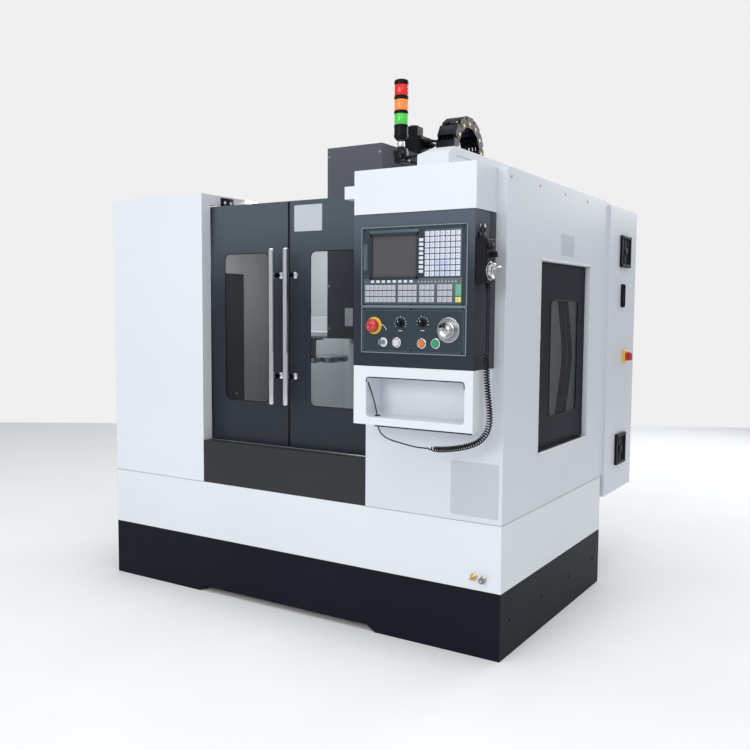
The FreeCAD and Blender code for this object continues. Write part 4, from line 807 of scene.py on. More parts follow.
# %% Rail brackets and sill
bracket_top = inside("door_rails")[1][2]
for name, x, turn in (("left", -438, 1), ("right", 419, -1)):
    x0, x1 = sorted((x, x + turn * 7))
    bracket = slab(name + "_rail_bracket", (x0 - 0.6, 122, 1718), (x1 + 0.6, 200, bracket_top + 0.6), 1.5)
    fit(bracket, "machine", BLACK, "black_plastic")
    face = x + turn * 7.6
    screws(name + "_bracket_screws", [(face, 142, 1744), (face, 180, 1744)], (turn, 0, 0), 7, "machine",
           KEY_WHITE)
sill = slab("sill_wiper", (-437, 52, 687.4), (418, 58.5, 692), 0.8)
fit(sill, "machine", RUBBER, "black_plastic")
guide = slab("sill_guide", (-437, 44, 687.6), (418, 51, 691), 0.8)
fit(guide, "machine", SILVER, "disc_aluminium")
print("brackets, wiper and guide are on")

# %% [markdown]
# ## Control station: screen and keys
#
# A membrane keyboard is a printed film over short-travel keys. Each key here is a low pad with a raised
# rim that was pulled out of a slab by an inset. It is modelled once and laid out with arrays, because all
# keys of one block are the same. The legends are small plain marks.

# %% Station: plates
PLATE_Y = inside("cnc_panel")[0][1]
dress("cnc_panel", FILM, "keypad_film", "machine", 0.6)
dress("operator_panel", FILM, "keypad_film", "machine", 0.6)
(SCREEN_X0, _, SCREEN_Z0), (SCREEN_X1, _, SCREEN_Z1) = inside("lcd_screen")
(U_X0, _, U_Z0), (U_X1, _, U_Z1) = inside("cnc_panel")
(L_X0, _, L_Z0), (L_X1, _, L_Z1) = inside("operator_panel")


def on_plate(name, x0, x1, z0, z1, thick, edge=0.4):
    """A low block on the face of the plates."""
    return slab(name, (x0, PLATE_Y - thick, z0), (x1, PLATE_Y, z1), edge)


bezel = border("screen_bezel", (SCREEN_X0 - 3, PLATE_Y - 3.2, SCREEN_Z0 - 3),
               (SCREEN_X1 + 3, PLATE_Y + 0.2, SCREEN_Z1 + 3), 1, 4, 9, 0.8)
fit(bezel, "machine", FILM_DARK, "keypad_film")
rims = [border("rim", (x0 - 1.6, PLATE_Y - 0.6, z0 - 1.6), (x1 + 1.6, PLATE_Y + 2.6, z1 + 1.6), 1, 3, 3.4,
               0.3) for x0, x1, z0, z1 in ((U_X0, U_X1, U_Z0 + 2, U_Z1), (L_X0, L_X1, L_Z0, L_Z1 - 2))]
fit(join("plate_rims", rims), "machine", FILM_EDGE, "keypad_film")
strip = on_plate("screen_head_strip", SCREEN_X0 - 3, SCREEN_X1 + 3, SCREEN_Z1 + 4, SCREEN_Z1 + 15, 1.6)
fit(strip, "machine", FILM_LIGHT, "keypad_film")
port = on_plate("port_cover", SCREEN_X0 - 29, SCREEN_X0 - 12, SCREEN_Z0 + 31, SCREEN_Z1 - 32, 2.2, 0.8)
choose(port, "FACE", lambda f: f.normal.y < -0.9)
bpy.ops.mesh.inset(thickness=2.5 * MM)
bpy.ops.transform.translate(value=(0, 0.9 * MM, 0))
done()
fit(port, "machine", FILM_LIGHT, "keypad_film")
UPPER_SCREWS = [(x, PLATE_Y, z) for z in (U_Z1 - 8, U_Z0 + 7) for x in (U_X0 + 13, U_X0 + 207, U_X1 - 13)]
LOWER_SCREWS = [(x, PLATE_Y, z) for z in (L_Z1 - 8, L_Z0 + 8) for x in (L_X0 + 13, L_X0 + 207, L_X1 - 13)]
screws("plate_screws", UPPER_SCREWS + LOWER_SCREWS, (0, -1, 0), 3.2, "machine", BLACK, 1.4)


# %% Station: a block of keys
def key_block(name, x0, z0, columns, rows, pitch_x, pitch_z, size_x, size_z, material, marks=True):
    """Keys in columns and rows. x0 and z0 are the lower left corner of the first key."""
    key = on_plate(name, x0, x0 + size_x, z0, z0 + size_z, 1.6, 0)
    choose(key, "FACE", lambda f: f.normal.y < -0.9)
    bpy.ops.mesh.inset(thickness=1.3 * MM)
    bpy.ops.transform.translate(value=(0, -0.5 * MM, 0))
    done()
    key = soften(key, 0.35 * MM, 1, 25)
    repeat(repeat(key, columns, (pitch_x, 0, 0)), rows, (0, 0, pitch_z))
    fit(key, "machine", material, "white_plastic")
    if marks:
        y = PLATE_Y - 2.1
        bar = slab(name + "_legends", (x0 + size_x * 0.3, y - 0.25, z0 + size_z * 0.50),
                   (x0 + size_x * 0.62, y, z0 + size_z * 0.66), 0)
        dot = slab("dot", (x0 + size_x * 0.34, y - 0.25, z0 + size_z * 0.26),
                   (x0 + size_x * 0.48, y, z0 + size_z * 0.38), 0)
        legends = join(name + "_legends", [bar, dot])
        repeat(repeat(legends, columns, (pitch_x, 0, 0)), rows, (0, 0, pitch_z))
        fit(legends, "machine", LEGEND, "black_plastic")
    return columns * rows


# %% Station: the upper keyboard
KEYS_X, KEYS_Z = U_X0 + 262, U_Z0 + 105      # lower left corner of the letter keys
backing = on_plate("keyboard_backing", KEYS_X - 3, KEYS_X + 142, KEYS_Z - 3, KEYS_Z + 161, 0.9)
fit(backing, "machine", FILM_LIGHT, "keypad_film")
count = key_block("keys_white", KEYS_X, KEYS_Z + 59.3, 7, 5, 20.0, 19.75, 16.6, 16.2, KEY_WHITE)
count += key_block("keys_lilac", KEYS_X + 40, KEYS_Z, 3, 3, 20.0, 19.75, 16.6, 16.2, KEY_LILAC)
count += key_block("keys_pale_left", KEYS_X, KEYS_Z, 2, 3, 20.0, 19.75, 16.6, 16.2, KEY_WHITE)
count += key_block("keys_pale_right", KEYS_X + 100, KEYS_Z, 2, 3, 20.0, 19.75, 16.6, 16.2, KEY_WHITE)
count += key_block("soft_keys_side", U_X0 + 238, U_Z0 + 117, 1, 8, 20.0, 15.6, 17.0, 10.5, KEY_WHITE, False)
print("upper keyboard:", count, "keys")

# %% Station: the operator's keys
STRIP_Z = U_Z0 + 12
backing = on_plate("operator_backing", U_X0 + 10, U_X1 - 18, STRIP_Z - 2, STRIP_Z + 87, 0.8)
fit(backing, "machine", FILM_LIGHT, "keypad_film")
count = key_block("soft_keys_low", U_X0 + 41, STRIP_Z + 72, 8, 1, 22.8, 10.0, 13.5, 9.0, KEY_WHITE, False)
for number, (x, columns, pitch) in enumerate(((17, 7, 18.4), (155, 4, 19.2), (241, 3, 20.2), (312, 3, 19.6))):
    count += key_block(f"operator_keys_{number}", U_X0 + x, STRIP_Z + 3.5, columns, 3, pitch, 21.5,
                       pitch - 1.9, 17.6, KEY_GREY)
count += key_block("green_key", U_X0 + 382, STRIP_Z + 25, 1, 1, 20, 20, 21, 39, KEY_GREEN)
count += key_block("yellow_key", U_X0 + 382, STRIP_Z + 3.5, 1, 1, 20, 20, 21, 17.6, KEY_YELLOW)
lamps = on_plate("lamp_dots", U_X0 + 236, U_X0 + 240, STRIP_Z + 73, STRIP_Z + 76, 1.2, 0.3)
repeat(lamps, 12, (13.2, 0, 0))
fit(lamps, "machine", MARK, "white_plastic")
print("operator's keys:", count)

# %% [markdown]
# ## Control station: switches
#
# The row below is all round parts, so each one is a lathe job: a closed half profile is spun about the
# part's axis. The profile is given as distance from the axis and height above the plate, the way a turner
# reads a drawing.

# %% Turned parts
def turned(name, profile, x, z, face_y, steps=48, out=(0, -1, 0)):
    """Spins a profile of (radius, height) pairs about the axis that leaves a face at x, face_y, z."""
    begin()
    centre, axis = at(x, face_y, z), Vector(out)
    side = Vector((0, 0, 1)) if abs(axis.z) < 0.5 else Vector((1, 0, 0))
    mesh = bpy.data.meshes.new(name)
    points = [centre + side * r * MM + axis * h * MM for r, h in profile]
    mesh.from_pydata(points, [(k, k + 1) for k in range(len(points) - 1)], [])
    piece = bpy.data.objects.new(name, mesh)
    bpy.context.scene.collection.objects.link(piece)
    choose(piece, "EDGE", lambda e: True)
    bpy.ops.mesh.select_all(action="SELECT")
    bpy.ops.mesh.spin(steps=steps, angle=2 * math.pi, center=centre, axis=axis)
    bpy.ops.mesh.select_all(action="SELECT")
    bpy.ops.mesh.remove_doubles(threshold=0.00002)
    bpy.ops.mesh.normals_make_consistent(inside=False)
    done()
    bpy.ops.object.shade_smooth_by_angle(angle=math.radians(32))
    return piece


def middle(node):
    (x0, _, z0), (x1, _, z1) = inside(node)
    return (x0 + x1) / 2, (z0 + z1) / 2


# %% Emergency stop
STOP_X, STOP_Z = middle("estop_button")
halo = turned("stop_halo",
              ((0, 0), (31, 0), (31, 2.4), (29.5, 4.2), (15, 5.2), (12.5, 5.2), (12.5, 0.4), (0, 0.4)),
              STOP_X, STOP_Z, PLATE_Y)
fit(halo, "machine", YELLOW, "orange_plastic")
stop = turned("stop_mushroom",
              ((0, 5.6), (11, 5.6), (11, 12), (22.2, 12.6), (24.2, 14.4), (24.4, 17.5), (23, 21.5),
               (19, 25.2), (14, 27.2), (7, 28.1), (0, 28.3)), STOP_X, STOP_Z, PLATE_Y)
fit(stop, "estop", RED, "red_plastic", "estop_button")
stop_marks = []
for k in range(3):
    angle = math.radians(90 + 120 * k)
    dx, dz = math.cos(angle), math.sin(angle)
    stop_marks.append(slab("mark", (STOP_X + 11 * dx - 1.2, PLATE_Y - 28.0, STOP_Z + 11 * dz - 1.2),
                           (STOP_X + 11 * dx + 1.2, PLATE_Y - 27.0, STOP_Z + 11 * dz + 1.2), 0.3))
fit(join("stop_marks", stop_marks), "estop", MARK, "white_plastic")
print("emergency stop: 62 mm yellow halo")


# %% Rotary knobs with scales
def knob(node, body, ticks, arc):
    x, z = middle(node)
    grip = turned(node + "_turned",
                  ((0, 0.5), (15.4, 0.5), (15.4, 3.5), (13.4, 5.2), (11.6, 6.2), (11.2, 18.5), (10.2, 20),
                   (0, 20)), x, z, PLATE_Y, 40)
    flute = rod("flute", (x, PLATE_Y - 6.2, z + 12.6), (x, PLATE_Y - 21, z + 12.4), 2.2, 12, 0)
    flutes = spin_copies(flute, 10, (x, PLATE_Y, z), (0, 1, 0), math.radians(36))
    hollow = grip.modifiers.new("flutes", "BOOLEAN")
    hollow.operation = "DIFFERENCE"
    hollow.object = flutes
    apply(grip, hollow)
    bpy.data.objects.remove(flutes)
    fit(grip, body, SATIN_BLACK, "black_plastic", node)
    line = slab(node + "_line", (x - 0.8, PLATE_Y - 20.5, z + 2), (x + 0.8, PLATE_Y - 19.8, z + 9.5), 0.2)
    fit(line, body, MARK, "white_plastic")
    marks = []
    for k in range(ticks):
        angle = math.radians(90 + arc / 2 - arc * k / (ticks - 1))
        mark = slab("mark", (x + 19.5, PLATE_Y - 0.35, z - 0.8), (x + 24 + 1.5 * (k % 2), PLATE_Y, z + 0.8),
                    0)
        place = at(x, PLATE_Y, z)
        mark.data.transform(about(place, Matrix.Rotation(-angle, 4, "Y")))
        marks.append(mark)
    marks.append(slab("mark", (x - 7, PLATE_Y - 0.35, z - 28), (x + 7, PLATE_Y, z - 25.6), 0))
    fit(join(node + "_scale", marks), "machine", MARK, "white_plastic")


knob("feed_knob", "feed_knob", 11, 240)
knob("speed_knob", "speed_knob", 8, 210)
print("two fluted knobs")

# %% Hand wheel
WHEEL_X, WHEEL_Z = 863, 1204
dial_plate = turned("wheel_dial",
                    ((0, 0), (44, 0), (44, 3.2), (42.5, 4.4), (37, 4.8), (36, 4.0), (30, 4.0), (29, 5.2),
                     (12, 5.2), (0, 5.2)), WHEEL_X, WHEEL_Z, PLATE_Y, 64)
fit(dial_plate, "machine", SILVER, "disc_aluminium")
wheel = turned("wheel",
               ((0, 5.8), (27, 5.8), (30.6, 7.4), (31.2, 10), (31.2, 15.5), (29.4, 18.4), (26.5, 19.4),
                (24.5, 18.0), (15, 17.0), (13, 18.6), (7, 19.4), (6, 18.2), (0, 18.2)), WHEEL_X, WHEEL_Z,
               PLATE_Y, 64)
fit(wheel, "handwheel", SILVER, "disc_aluminium", "handwheel")
crank = turned("wheel_crank",
               ((0, 17), (3.4, 17), (3.4, 22), (5.2, 24), (6.0, 30), (5.4, 38), (3.6, 41.4), (0, 41.8)),
               WHEEL_X - 14, WHEEL_Z + 13, PLATE_Y, 28)
fit(crank, "handwheel", SATIN_BLACK, "black_plastic")
ticks = slab("wheel_scale", (WHEEL_X - 0.4, PLATE_Y - 5.1, WHEEL_Z + 37.5),
             (WHEEL_X + 0.4, PLATE_Y - 4.6, WHEEL_Z + 42), 0)
ticks = spin_copies(ticks, 50, (WHEEL_X, PLATE_Y, WHEEL_Z), (0, 1, 0), math.radians(7.2))
fit(ticks, "machine", BLACK, "black_plastic")
print("hand wheel: 62 mm, 50 divisions")


# %% Key switch and push buttons
def pressed_button(node, body, material):
    x, z = middle(node)
    collar = turned(body + "_bezel",
                    ((13.4, 0), (18.6, 0), (18.6, 2.2), (16.8, 4.0), (14.0, 4.0), (13.4, 3.4), (13.4, 0)), x,
                    z, PLATE_Y, 40)
    fit(collar, "machine", CHROME, "polished_chrome")
    cap = turned(body + "_cap",
                 ((0, -18), (12.4, -18), (12.9, -1), (12.9, 5.2), (11.8, 6.8), (8.2, 7.0), (7.4, 6.4),
                  (0, 6.1)), x, z, PLATE_Y, 40)
    fit(cap, body, material, body.replace("button", "plastic"), node)


pressed_button("white_button", "white_button", WHITE_CAP)
pressed_button("orange_button", "orange_button", ORANGE_CAP)
pressed_button("green_button", "green_button", GREEN_CAP)
KEY_X, KEY_Z = middle("key_switch")
ring_white = turned("key_ring",
                    ((9.6, 0), (16.4, 0), (16.4, 1.0), (15.6, 1.5), (10.2, 1.5), (9.6, 0.9), (9.6, 0)), KEY_X,
                    KEY_Z, PLATE_Y, 40)
fit(ring_white, "machine", MARK, "white_plastic")
coat(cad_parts["key_switch"], STEEL)
guide_marks = [turned("arc", ((31.5, 0), (33.2, 0), (33.2, 0.4), (31.5, 0.4), (31.5, 0)), STOP_X + 20,
                      STOP_Z - 26, PLATE_Y, 40)]
choose(guide_marks[0], "FACE", lambda f: f.calc_center_median().z < at(0, 0, STOP_Z - 18).z
       or f.calc_center_median().x < at(STOP_X + 24, 0, 0).x)
bpy.ops.mesh.delete(type="FACE")
done()
fit(join("key_marks", guide_marks), "machine", MARK, "white_plastic")
outline = border("operator_outline", (L_X0 + 8, PLATE_Y - 0.5, L_Z0 + 6),
                 (L_X1 - 8, PLATE_Y + 0.1, L_Z1 - 13), 1, 3, 1.6, 0)
fit(outline, "machine", FILM_LIGHT, "keypad_film")
print("key switch and three push buttons")

# %% [markdown]
# ## Control station: box, pocket and pendant
#
# The rear of the box is a separate, lighter frame that bolts to the enclosure. Black strips along the
# pocket's upper lip and under its front edge paint the shadows there. The hand pendant hangs from a hook on
# the box's side.

# %% Box frame and painted shadows of the pocket
(_, _, BOX_Z0), (BOX_X1, _, BOX_Z1) = inside("control_box")
rear_frame = slab("station_rear_frame", (BOX_X1, -44, BOX_Z0 + 3), (BOX_X1 + 2.4, -1, BOX_Z1 - 1), 1.0)
fit(rear_frame, "machine", STATION_LIGHT, "control_paint")
(PK_X0, PK_Y0, PK_Z0), (PK_X1, _, PK_Z1) = inside("pocket_box")
# A black strip along the pocket's upper lip: painted shadow under the lip.
lip_shadow_route = [(PK_X0 + 55, PK_Z1 - 58), (PK_X0 + 54.5, PK_Z1 - 50), (PK_X0 + 60, PK_Z1 - 41.5),
                (PK_X0 + 72, PK_Z1 - 40.5), (PK_X1 - 50, PK_Z1 - 40.5), (PK_X1 - 38, PK_Z1 - 41.5),
                (PK_X1 - 33, PK_Z1 - 50), (PK_X1 - 33.5, PK_Z1 - 66)]
lip_shadow_line = spline_curve("pocket_lip_shadow", [at(x, PK_Y0 + 0.8, z) for x, z in lip_shadow_route], 6)
lip_shadow_line.bevel_depth = 2.1 * MM
lip_shadow_line.bevel_resolution = 3
lip_shadow_line.use_fill_caps = True
begin()
lip_shadow = bpy.data.objects.new("pocket_lip_shadow", lip_shadow_line)
bpy.context.scene.collection.objects.link(lip_shadow)
lip_shadow.select_set(True)
bpy.context.view_layer.objects.active = lip_shadow
bpy.ops.object.convert(target="MESH")
fit(bpy.context.object, "machine", RUBBER, "black_plastic")
# A black strip under the pocket's front edge: painted shadow under the pocket.
underside = slab("pocket_underside_shadow", (PK_X0 + 92, PK_Y0 + 1, PK_Z0 - 5), (PK_X1 - 4, PK_Y0 + 9, PK_Z0), 1.2)
fit(underside, "machine", RUBBER, "black_plastic")
grommet = turned("cord_grommet",
                 ((3.2, -1), (7.6, -1), (7.6, 0.6), (11, 0.6), (11, 2.6), (9.5, 3.4), (4.4, 3.4), (3.2, 2.4),
                  (3.2, -1)), 546, PK_Z0 + 28, -117, 32, (0, 0, 1))
fit(grommet, "machine", RUBBER, "black_plastic")
print("lip_shadow", round(inside("pocket_box")[1][0] - inside("pocket_box")[0][0]), "mm wide pocket")

# %% Hand pendant
(PB_X0, PB_Y0, PB_Z0), (PB_X1, PB_Y1, PB_Z1) = inside("pendant_body")
PB_Z0 += 20.0      # the gland hangs below the body
SIDEWAYS = (1, 0, 0)
joint_line = slab("pendant_joint", (PB_X0 + 21, PB_Y0 - 0.7, PB_Z0 + 2), (PB_X0 + 23, PB_Y1 + 0.7, PB_Z1 - 2),
                  0.3)
fit(joint_line, "machine", RUBBER, "black_plastic")
WHEEL_Y, WHEEL_UP = -128, PB_Z0 + 40
dial = turned("pendant_dial", ((0, 0), (32, 0), (32, 1.4), (30.6, 2.2), (0, 2.2)), PB_X1, WHEEL_UP, WHEEL_Y,
              56, SIDEWAYS)
fit(dial, "machine", SILVER, "disc_aluminium")
wheel = turned("pendant_wheel_turned",
               ((0, 2.6), (25, 2.6), (28.6, 4), (29, 7), (29, 11.5), (27.2, 14.2), (24.6, 15), (22.6, 13.6),
                (12, 12.6), (10, 15), (6, 16), (0, 16)), PB_X1, WHEEL_UP, WHEEL_Y, 56, SIDEWAYS)
fit(wheel, "pendant_wheel", SILVER, "disc_aluminium", "pendant_wheel")
crank = turned("pendant_crank",
               ((0, 12), (3, 12), (3, 18), (4.6, 20), (5.0, 27), (4.4, 35), (2.8, 38), (0, 38.2)), PB_X1,
               WHEEL_UP + 14, WHEEL_Y + 8, 28, SIDEWAYS)
fit(crank, "pendant_wheel", CHROME, "polished_chrome")
for node, y, up in (("pendant_axis_knob", -141, 122), ("pendant_step_knob", -107, 97)):
    cap = turned(node + "_turned",
                 ((0, 0.4), (10.8, 0.4), (10.8, 3), (8.8, 4.2), (8.2, 12.6), (7.2, 13.8), (0, 13.8)), PB_X1,
                 PB_Z0 + up, y, 36, SIDEWAYS)
    wing = slab("wing", (PB_X1 + 4, y - 2.6, PB_Z0 + up - 9.8), (PB_X1 + 17, y + 2.6, PB_Z0 + up + 9.8), 1.0)
    fit(join(node + "_turned", [cap, wing]), node, SATIN_BLACK, "black_plastic", node)
    tick = slab(node + "_mark", (PB_X1 + 17, y - 0.7, PB_Z0 + up + 3),
                (PB_X1 + 17.4, y + 0.7, PB_Z0 + up + 9), 0)
    fit(tick, node, MARK, "white_plastic")
hanger = slab("pendant_hanger", (BOX_X1, -146, PB_Z1 - 4), (BOX_X1 + 16, -104, PB_Z1 + 22), 2.5)
hook_top = ring("hook_loop", (BOX_X1 + 9, -124, PB_Z1 + 32), (1, 0, 0), 13, 3.2, 40, 12)
fit(join("pendant_hanger", [hanger, hook_top]), "machine", SATIN_BLACK, "black_plastic")
peg = turned("hook_peg",
             ((0, 0), (7, 0), (7, 1.6), (3.6, 2.4), (3.6, 13), (6.6, 14.2), (6.8, 17), (5, 18.6), (0, 19)),
             BOX_X1, PB_Z1 + 43, -124, 32, SIDEWAYS)
fit(peg, "machine", CHROME, "polished_chrome")
gland = turned("cord_gland",
               ((2.6, 0), (4.0, 0), (5.2, 6), (6.2, 12), (8.6, 13.5), (8.6, 20), (2.6, 20), (2.6, 0)), 977,
               PB_Z0 - 20, -104, 32, (0, 0, 1))
fit(gland, "machine", RUBBER, "black_plastic")
print("pendant: 58 mm wheel and two knobs")

# %% [markdown]
# ## Roof: signal light
#
# The three lenses are turned, and fine vertical ribs inside them spread the lamp's light. They share one
# piece because they are one node of the frame. A silver neck and a black swivel hold the column of lenses
# above the cable duct.

# %% Lenses
def coated(piece, material):
    coat(piece, material)
    return piece


LIGHT_X, LIGHT_Y = 532, 60
(_, _, LENS_LOW), (_, _, LENS_HIGH) = inside("light_lenses")
LENS_R = (inside("light_lenses")[1][0] - inside("light_lenses")[0][0]) / 2
UP = (0, 0, 1)
lenses = []
for k, material in enumerate((LENS_GREEN, LENS_AMBER, LENS_RED)):
    low = LENS_LOW + (0, 53, 108)[k] + 0.3
    lens = turned(f"lens_{k}",
                  ((9, 0), (LENS_R - 2.2, 0), (LENS_R - 1.2, 2), (LENS_R - 1.2, 38), (LENS_R - 2.2, 40.4),
                   (9, 40.4), (9, 0)), LIGHT_X, low, LIGHT_Y, 72, UP)
    rib = slab("rib", (LIGHT_X + LENS_R - 1.8, LIGHT_Y - 0.55, low + 3),
               (LIGHT_X + LENS_R - 0.2, LIGHT_Y + 0.55, low + 37.5), 0.25)
    ribs = spin_copies(rib, 36, (LIGHT_X, LIGHT_Y, low), UP, math.radians(10))
    lenses.append(coated(join(f"lens_{k}", [lens, ribs]), material))
lenses = join("signal_lenses", lenses)
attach(lenses, "machine")
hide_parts("light_lenses")
print("lenses from", LENS_LOW, "to", LENS_HIGH)

# %% Neck, collars and swivel
BASE_LOW = LENS_LOW - 48
collars = []
for low, high in ((BASE_LOW + 2, BASE_LOW + 12), (LENS_LOW - 9, LENS_LOW - 1), (LENS_LOW + 43, LENS_LOW + 51),
                  (LENS_LOW + 96, LENS_LOW + 106), (LENS_HIGH + 3, LENS_HIGH + 12)):
    collars.append(turned("collar",
                          ((LENS_R - 3, 0), (LENS_R + 0.9, 0.8), (LENS_R + 1.3, 2),
                           (LENS_R + 1.3, high - low - 2), (LENS_R + 0.9, high - low - 0.8),
                           (LENS_R - 3, high - low), (LENS_R - 3, 0)), LIGHT_X, low, LIGHT_Y, 48, UP))
collars.append(turned("cap", ((0, 0), (LENS_R - 1, 0), (LENS_R - 3, 2.4), (LENS_R - 9, 4.4), (0, 5)), LIGHT_X,
                      LENS_HIGH + 15, LIGHT_Y, 48, UP))
collars.append(turned("foot", ((12, -9), (LENS_R - 8, -9), (LENS_R - 2, 0), (12, 0), (12, -9)), LIGHT_X,
                      BASE_LOW, LIGHT_Y, 48, UP))
fit(join("signal_collars", collars), "machine", BLACK, "black_plastic")
neck = turned("signal_neck",
              ((11.2, 0), (13.6, 0), (14.4, 1.4), (14.4, 17), (12.8, 20), (12, 26), (11.2, 26), (11.2, 0)),
              LIGHT_X, BASE_LOW - 33, LIGHT_Y, 40, UP)
fit(neck, "machine", CHROME, "polished_chrome")
swivel = [rod("hub", (LIGHT_X - 24, LIGHT_Y, 1866), (LIGHT_X + 24, LIGHT_Y, 1866), 17, 40, 1.5),
          turned("shank", ((11.3, 0), (18, 0), (18, 10), (14.5, 16), (14.5, 30), (11.3, 30), (11.3, 0)),
                 LIGHT_X, 1858, LIGHT_Y, 32, UP),
          slab("clamp", (LIGHT_X - 17, LIGHT_Y - 23, 1842), (LIGHT_X + 17, LIGHT_Y + 23, 1856), 3),
          slab("shoe", (LIGHT_X - 19, LIGHT_Y - 19, 1826), (LIGHT_X + 30, LIGHT_Y + 19, 1843), 3)]
swivel += [rod("bolt", (LIGHT_X, LIGHT_Y + s * 15, 1822), (LIGHT_X, LIGHT_Y + s * 15, 1826), 4.6, 6, 0.4)
           for s in (-1, 1)]
fit(join("signal_swivel", swivel), "machine", SATIN_BLACK, "black_plastic")
print("neck and swivel are on")

# %% [markdown]
# ## Roof: energy chain
#
# The chain carries the head's cables over the column. Each link is two side plates with cross bars between
# them, and yellow pins close the links. One straight link is made, then copied along the two legs and
# round the arch. On the machine its front leg moves with the head and its rear leg stays with the column.

# %% Chain links
(CH_X0, CH_Y0, CH_Z0), (CH_X1, CH_Y1, CH_Z1) = inside("cable_chain")
ARCH_Y, R_OUT = (CH_Y0 + CH_Y1) / 2, (CH_Y1 - CH_Y0) / 2
ARCH_Z = CH_Z1 - R_OUT
R_IN = R_OUT - 56
PITCH = math.radians(30)
R_MID = (R_OUT + R_IN) / 2


def link(material, pins):
    """A link whose middle stands at the arch's rear foot, with its length upwards."""
    y, half = ARCH_Y + R_MID, R_MID * PITCH / 2
    parts = []
    if pins:
        for x0, x1 in ((CH_X0 - 2.5, CH_X0 + 2), (CH_X1 - 2, CH_X1 + 2.5)):
            parts.append(rod("pin", (x0, y - 8, ARCH_Z + half * 0.1), (x1, y - 8, ARCH_Z + half * 0.1), 9.0,
                             24, 0.6))
    else:
        for x0, x1, z0, z1 in ((CH_X0, CH_X0 + 5, -half - 5, half - 7),
                               (CH_X0 + 5.6, CH_X0 + 10, half - 15, half + 6),
                               (CH_X1 - 5, CH_X1, -half - 5, half - 7),
                               (CH_X1 - 10, CH_X1 - 5.6, half - 15, half + 6)):
            side = slab("side", (x0, y - 27.6, ARCH_Z + z0), (x1, y + 27.6, ARCH_Z + z1), 0)
            choose(side, "EDGE", lambda e: abs((e.verts[0].co - e.verts[1].co).x) > 0.9 * (x1 - x0) * MM)
            bpy.ops.mesh.bevel(offset=11 * MM, segments=5)
            done()
            parts.append(soften(side, 0.8 * MM, 1))
        for dy, z0, z1 in ((24.4, -half + 5, half - 9), (-27.4, -half + 14, half - 16)):
            parts.append(slab("bar", (CH_X0 + 2, y + dy, ARCH_Z + z0), (CH_X1 - 2, y + dy + 3, ARCH_Z + z1),
                              0.8))
            middle_z = ARCH_Z + (z0 + z1) / 2
            parts.append(slab("rib", (CH_X0 + 2, y + dy - 0.6, middle_z - 3),
                              (CH_X1 - 2, y + dy + 3.6, middle_z + 3), 0.6))
    return coated(join("link", parts), material)


def chain_run(material, pins):
    links, half = [], R_MID * PITCH
    arch = spin_copies(link(material, pins), 7, (0, ARCH_Y, ARCH_Z), (1, 0, 0), PITCH)
    links.append(arch)
    rear = link(material, pins)
    rear.data.transform(Matrix.Translation((0, 0, -half * MM)))
    links.append(repeat(rear, int((ARCH_Z - CH_Z0 - half) / half), (0, 0, -half)))
    front = link(material, pins)
    centre = at(0, ARCH_Y, ARCH_Z)
    front.data.transform(Matrix.Translation((0, 0, -half * MM)) @ Matrix.Translation(centre)
                         @ Matrix.Rotation(math.pi, 4, "Z") @ Matrix.Translation(-centre))
    front.data.transform(Matrix.Translation(((CH_X0 + CH_X1) * MM, 0, 0)))
    links.append(repeat(front, int((ARCH_Z - 1672) / half), (0, 0, -half)))
    return join("chain_pins" if pins else "chain_links", links)


links = chain_run(CHAIN_BLACK, False)
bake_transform(links)
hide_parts("cable_chain")
pins = chain_run(YELLOW, True)
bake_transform(pins)
for number, (x, radius) in enumerate(((224, 9), (246, 7), (264, 7), (283, 9))):
    lead = [at(x, ARCH_Y + R_MID, CH_Z0 + 6), at(x, ARCH_Y + R_MID, ARCH_Z - 60)]
    lead += [at(x, ARCH_Y + R_MID * math.cos(a), ARCH_Z + R_MID * math.sin(a)) for a in
             (math.radians(15 * k) for k in range(13))]
    lead += [at(x, ARCH_Y - R_MID, ARCH_Z - 60), at(x, ARCH_Y - R_MID, 1668)]
    line = spline_curve(f"chain_cable_{number}", lead, 4)
    line.bevel_depth = radius * MM
    line.bevel_resolution = 3
    begin()
    wire = bpy.data.objects.new(f"chain_cable_{number}", line)
    bpy.context.scene.collection.objects.link(wire)
    wire.select_set(True)
    bpy.context.view_layer.objects.active = wire
    bpy.ops.object.convert(target="MESH")
    wire = coated(bpy.context.object, RUBBER)
    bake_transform(wire)
print("chain:", len(links.data.polygons), "faces")

# %% [markdown]
# ## Roof: servo and cable duct
#
# The servo of the vertical axis stands on the column. It has a flange with four bolts, grooves that cool
# its body and two connectors, one with its cable. The duct's lid is held by screws.

# %% Servo details
(_, _, _), (_, _, SERVO_TOP) = inside("axis_motors")
SERVO_Y, SERVO_LOW = 1112, SERVO_TOP - 216
fins = slab("servo_fins", (-57.2, SERVO_Y - 57.2, SERVO_LOW + 22), (57.2, SERVO_Y + 57.2, SERVO_LOW + 28),
            0.8)
fins = repeat(fins, 10, (0, 0, 13))
fit(fins, "machine", BLACK, "motor_paint")
flange = [slab("flange", (-62, SERVO_Y - 62, SERVO_LOW), (62, SERVO_Y + 62, SERVO_LOW + 13), 3)]
for dx in (-50, 50):
    for dy in (-50, 50):
        flange.append(rod("bolt", (dx, SERVO_Y + dy, SERVO_LOW + 12), (dx, SERVO_Y + dy, SERVO_LOW + 21), 8,
                          6, 0.8))
fit(join("servo_flange", flange), "machine", STEEL, "ground_steel")
boots = []
for y, z, reach in ((SERVO_Y - 14, SERVO_LOW + 132, 34), (SERVO_Y + 24, SERVO_LOW + 118, 28)):
    boots.append(rod("plug", (52, y, z), (52 + reach, y, z), 14.5, 32, 1.5))
    boots.append(rod("nut", (52 + reach - 9, y, z), (52 + reach + 3, y, z), 16.5, 12, 1))
    boots.append(rod("boot", (52 + reach + 3, y, z), (52 + reach + 22, y, z), 12, 32, 0, 7))
fit(join("servo_plugs", boots), "machine", SATIN_BLACK, "black_plastic")
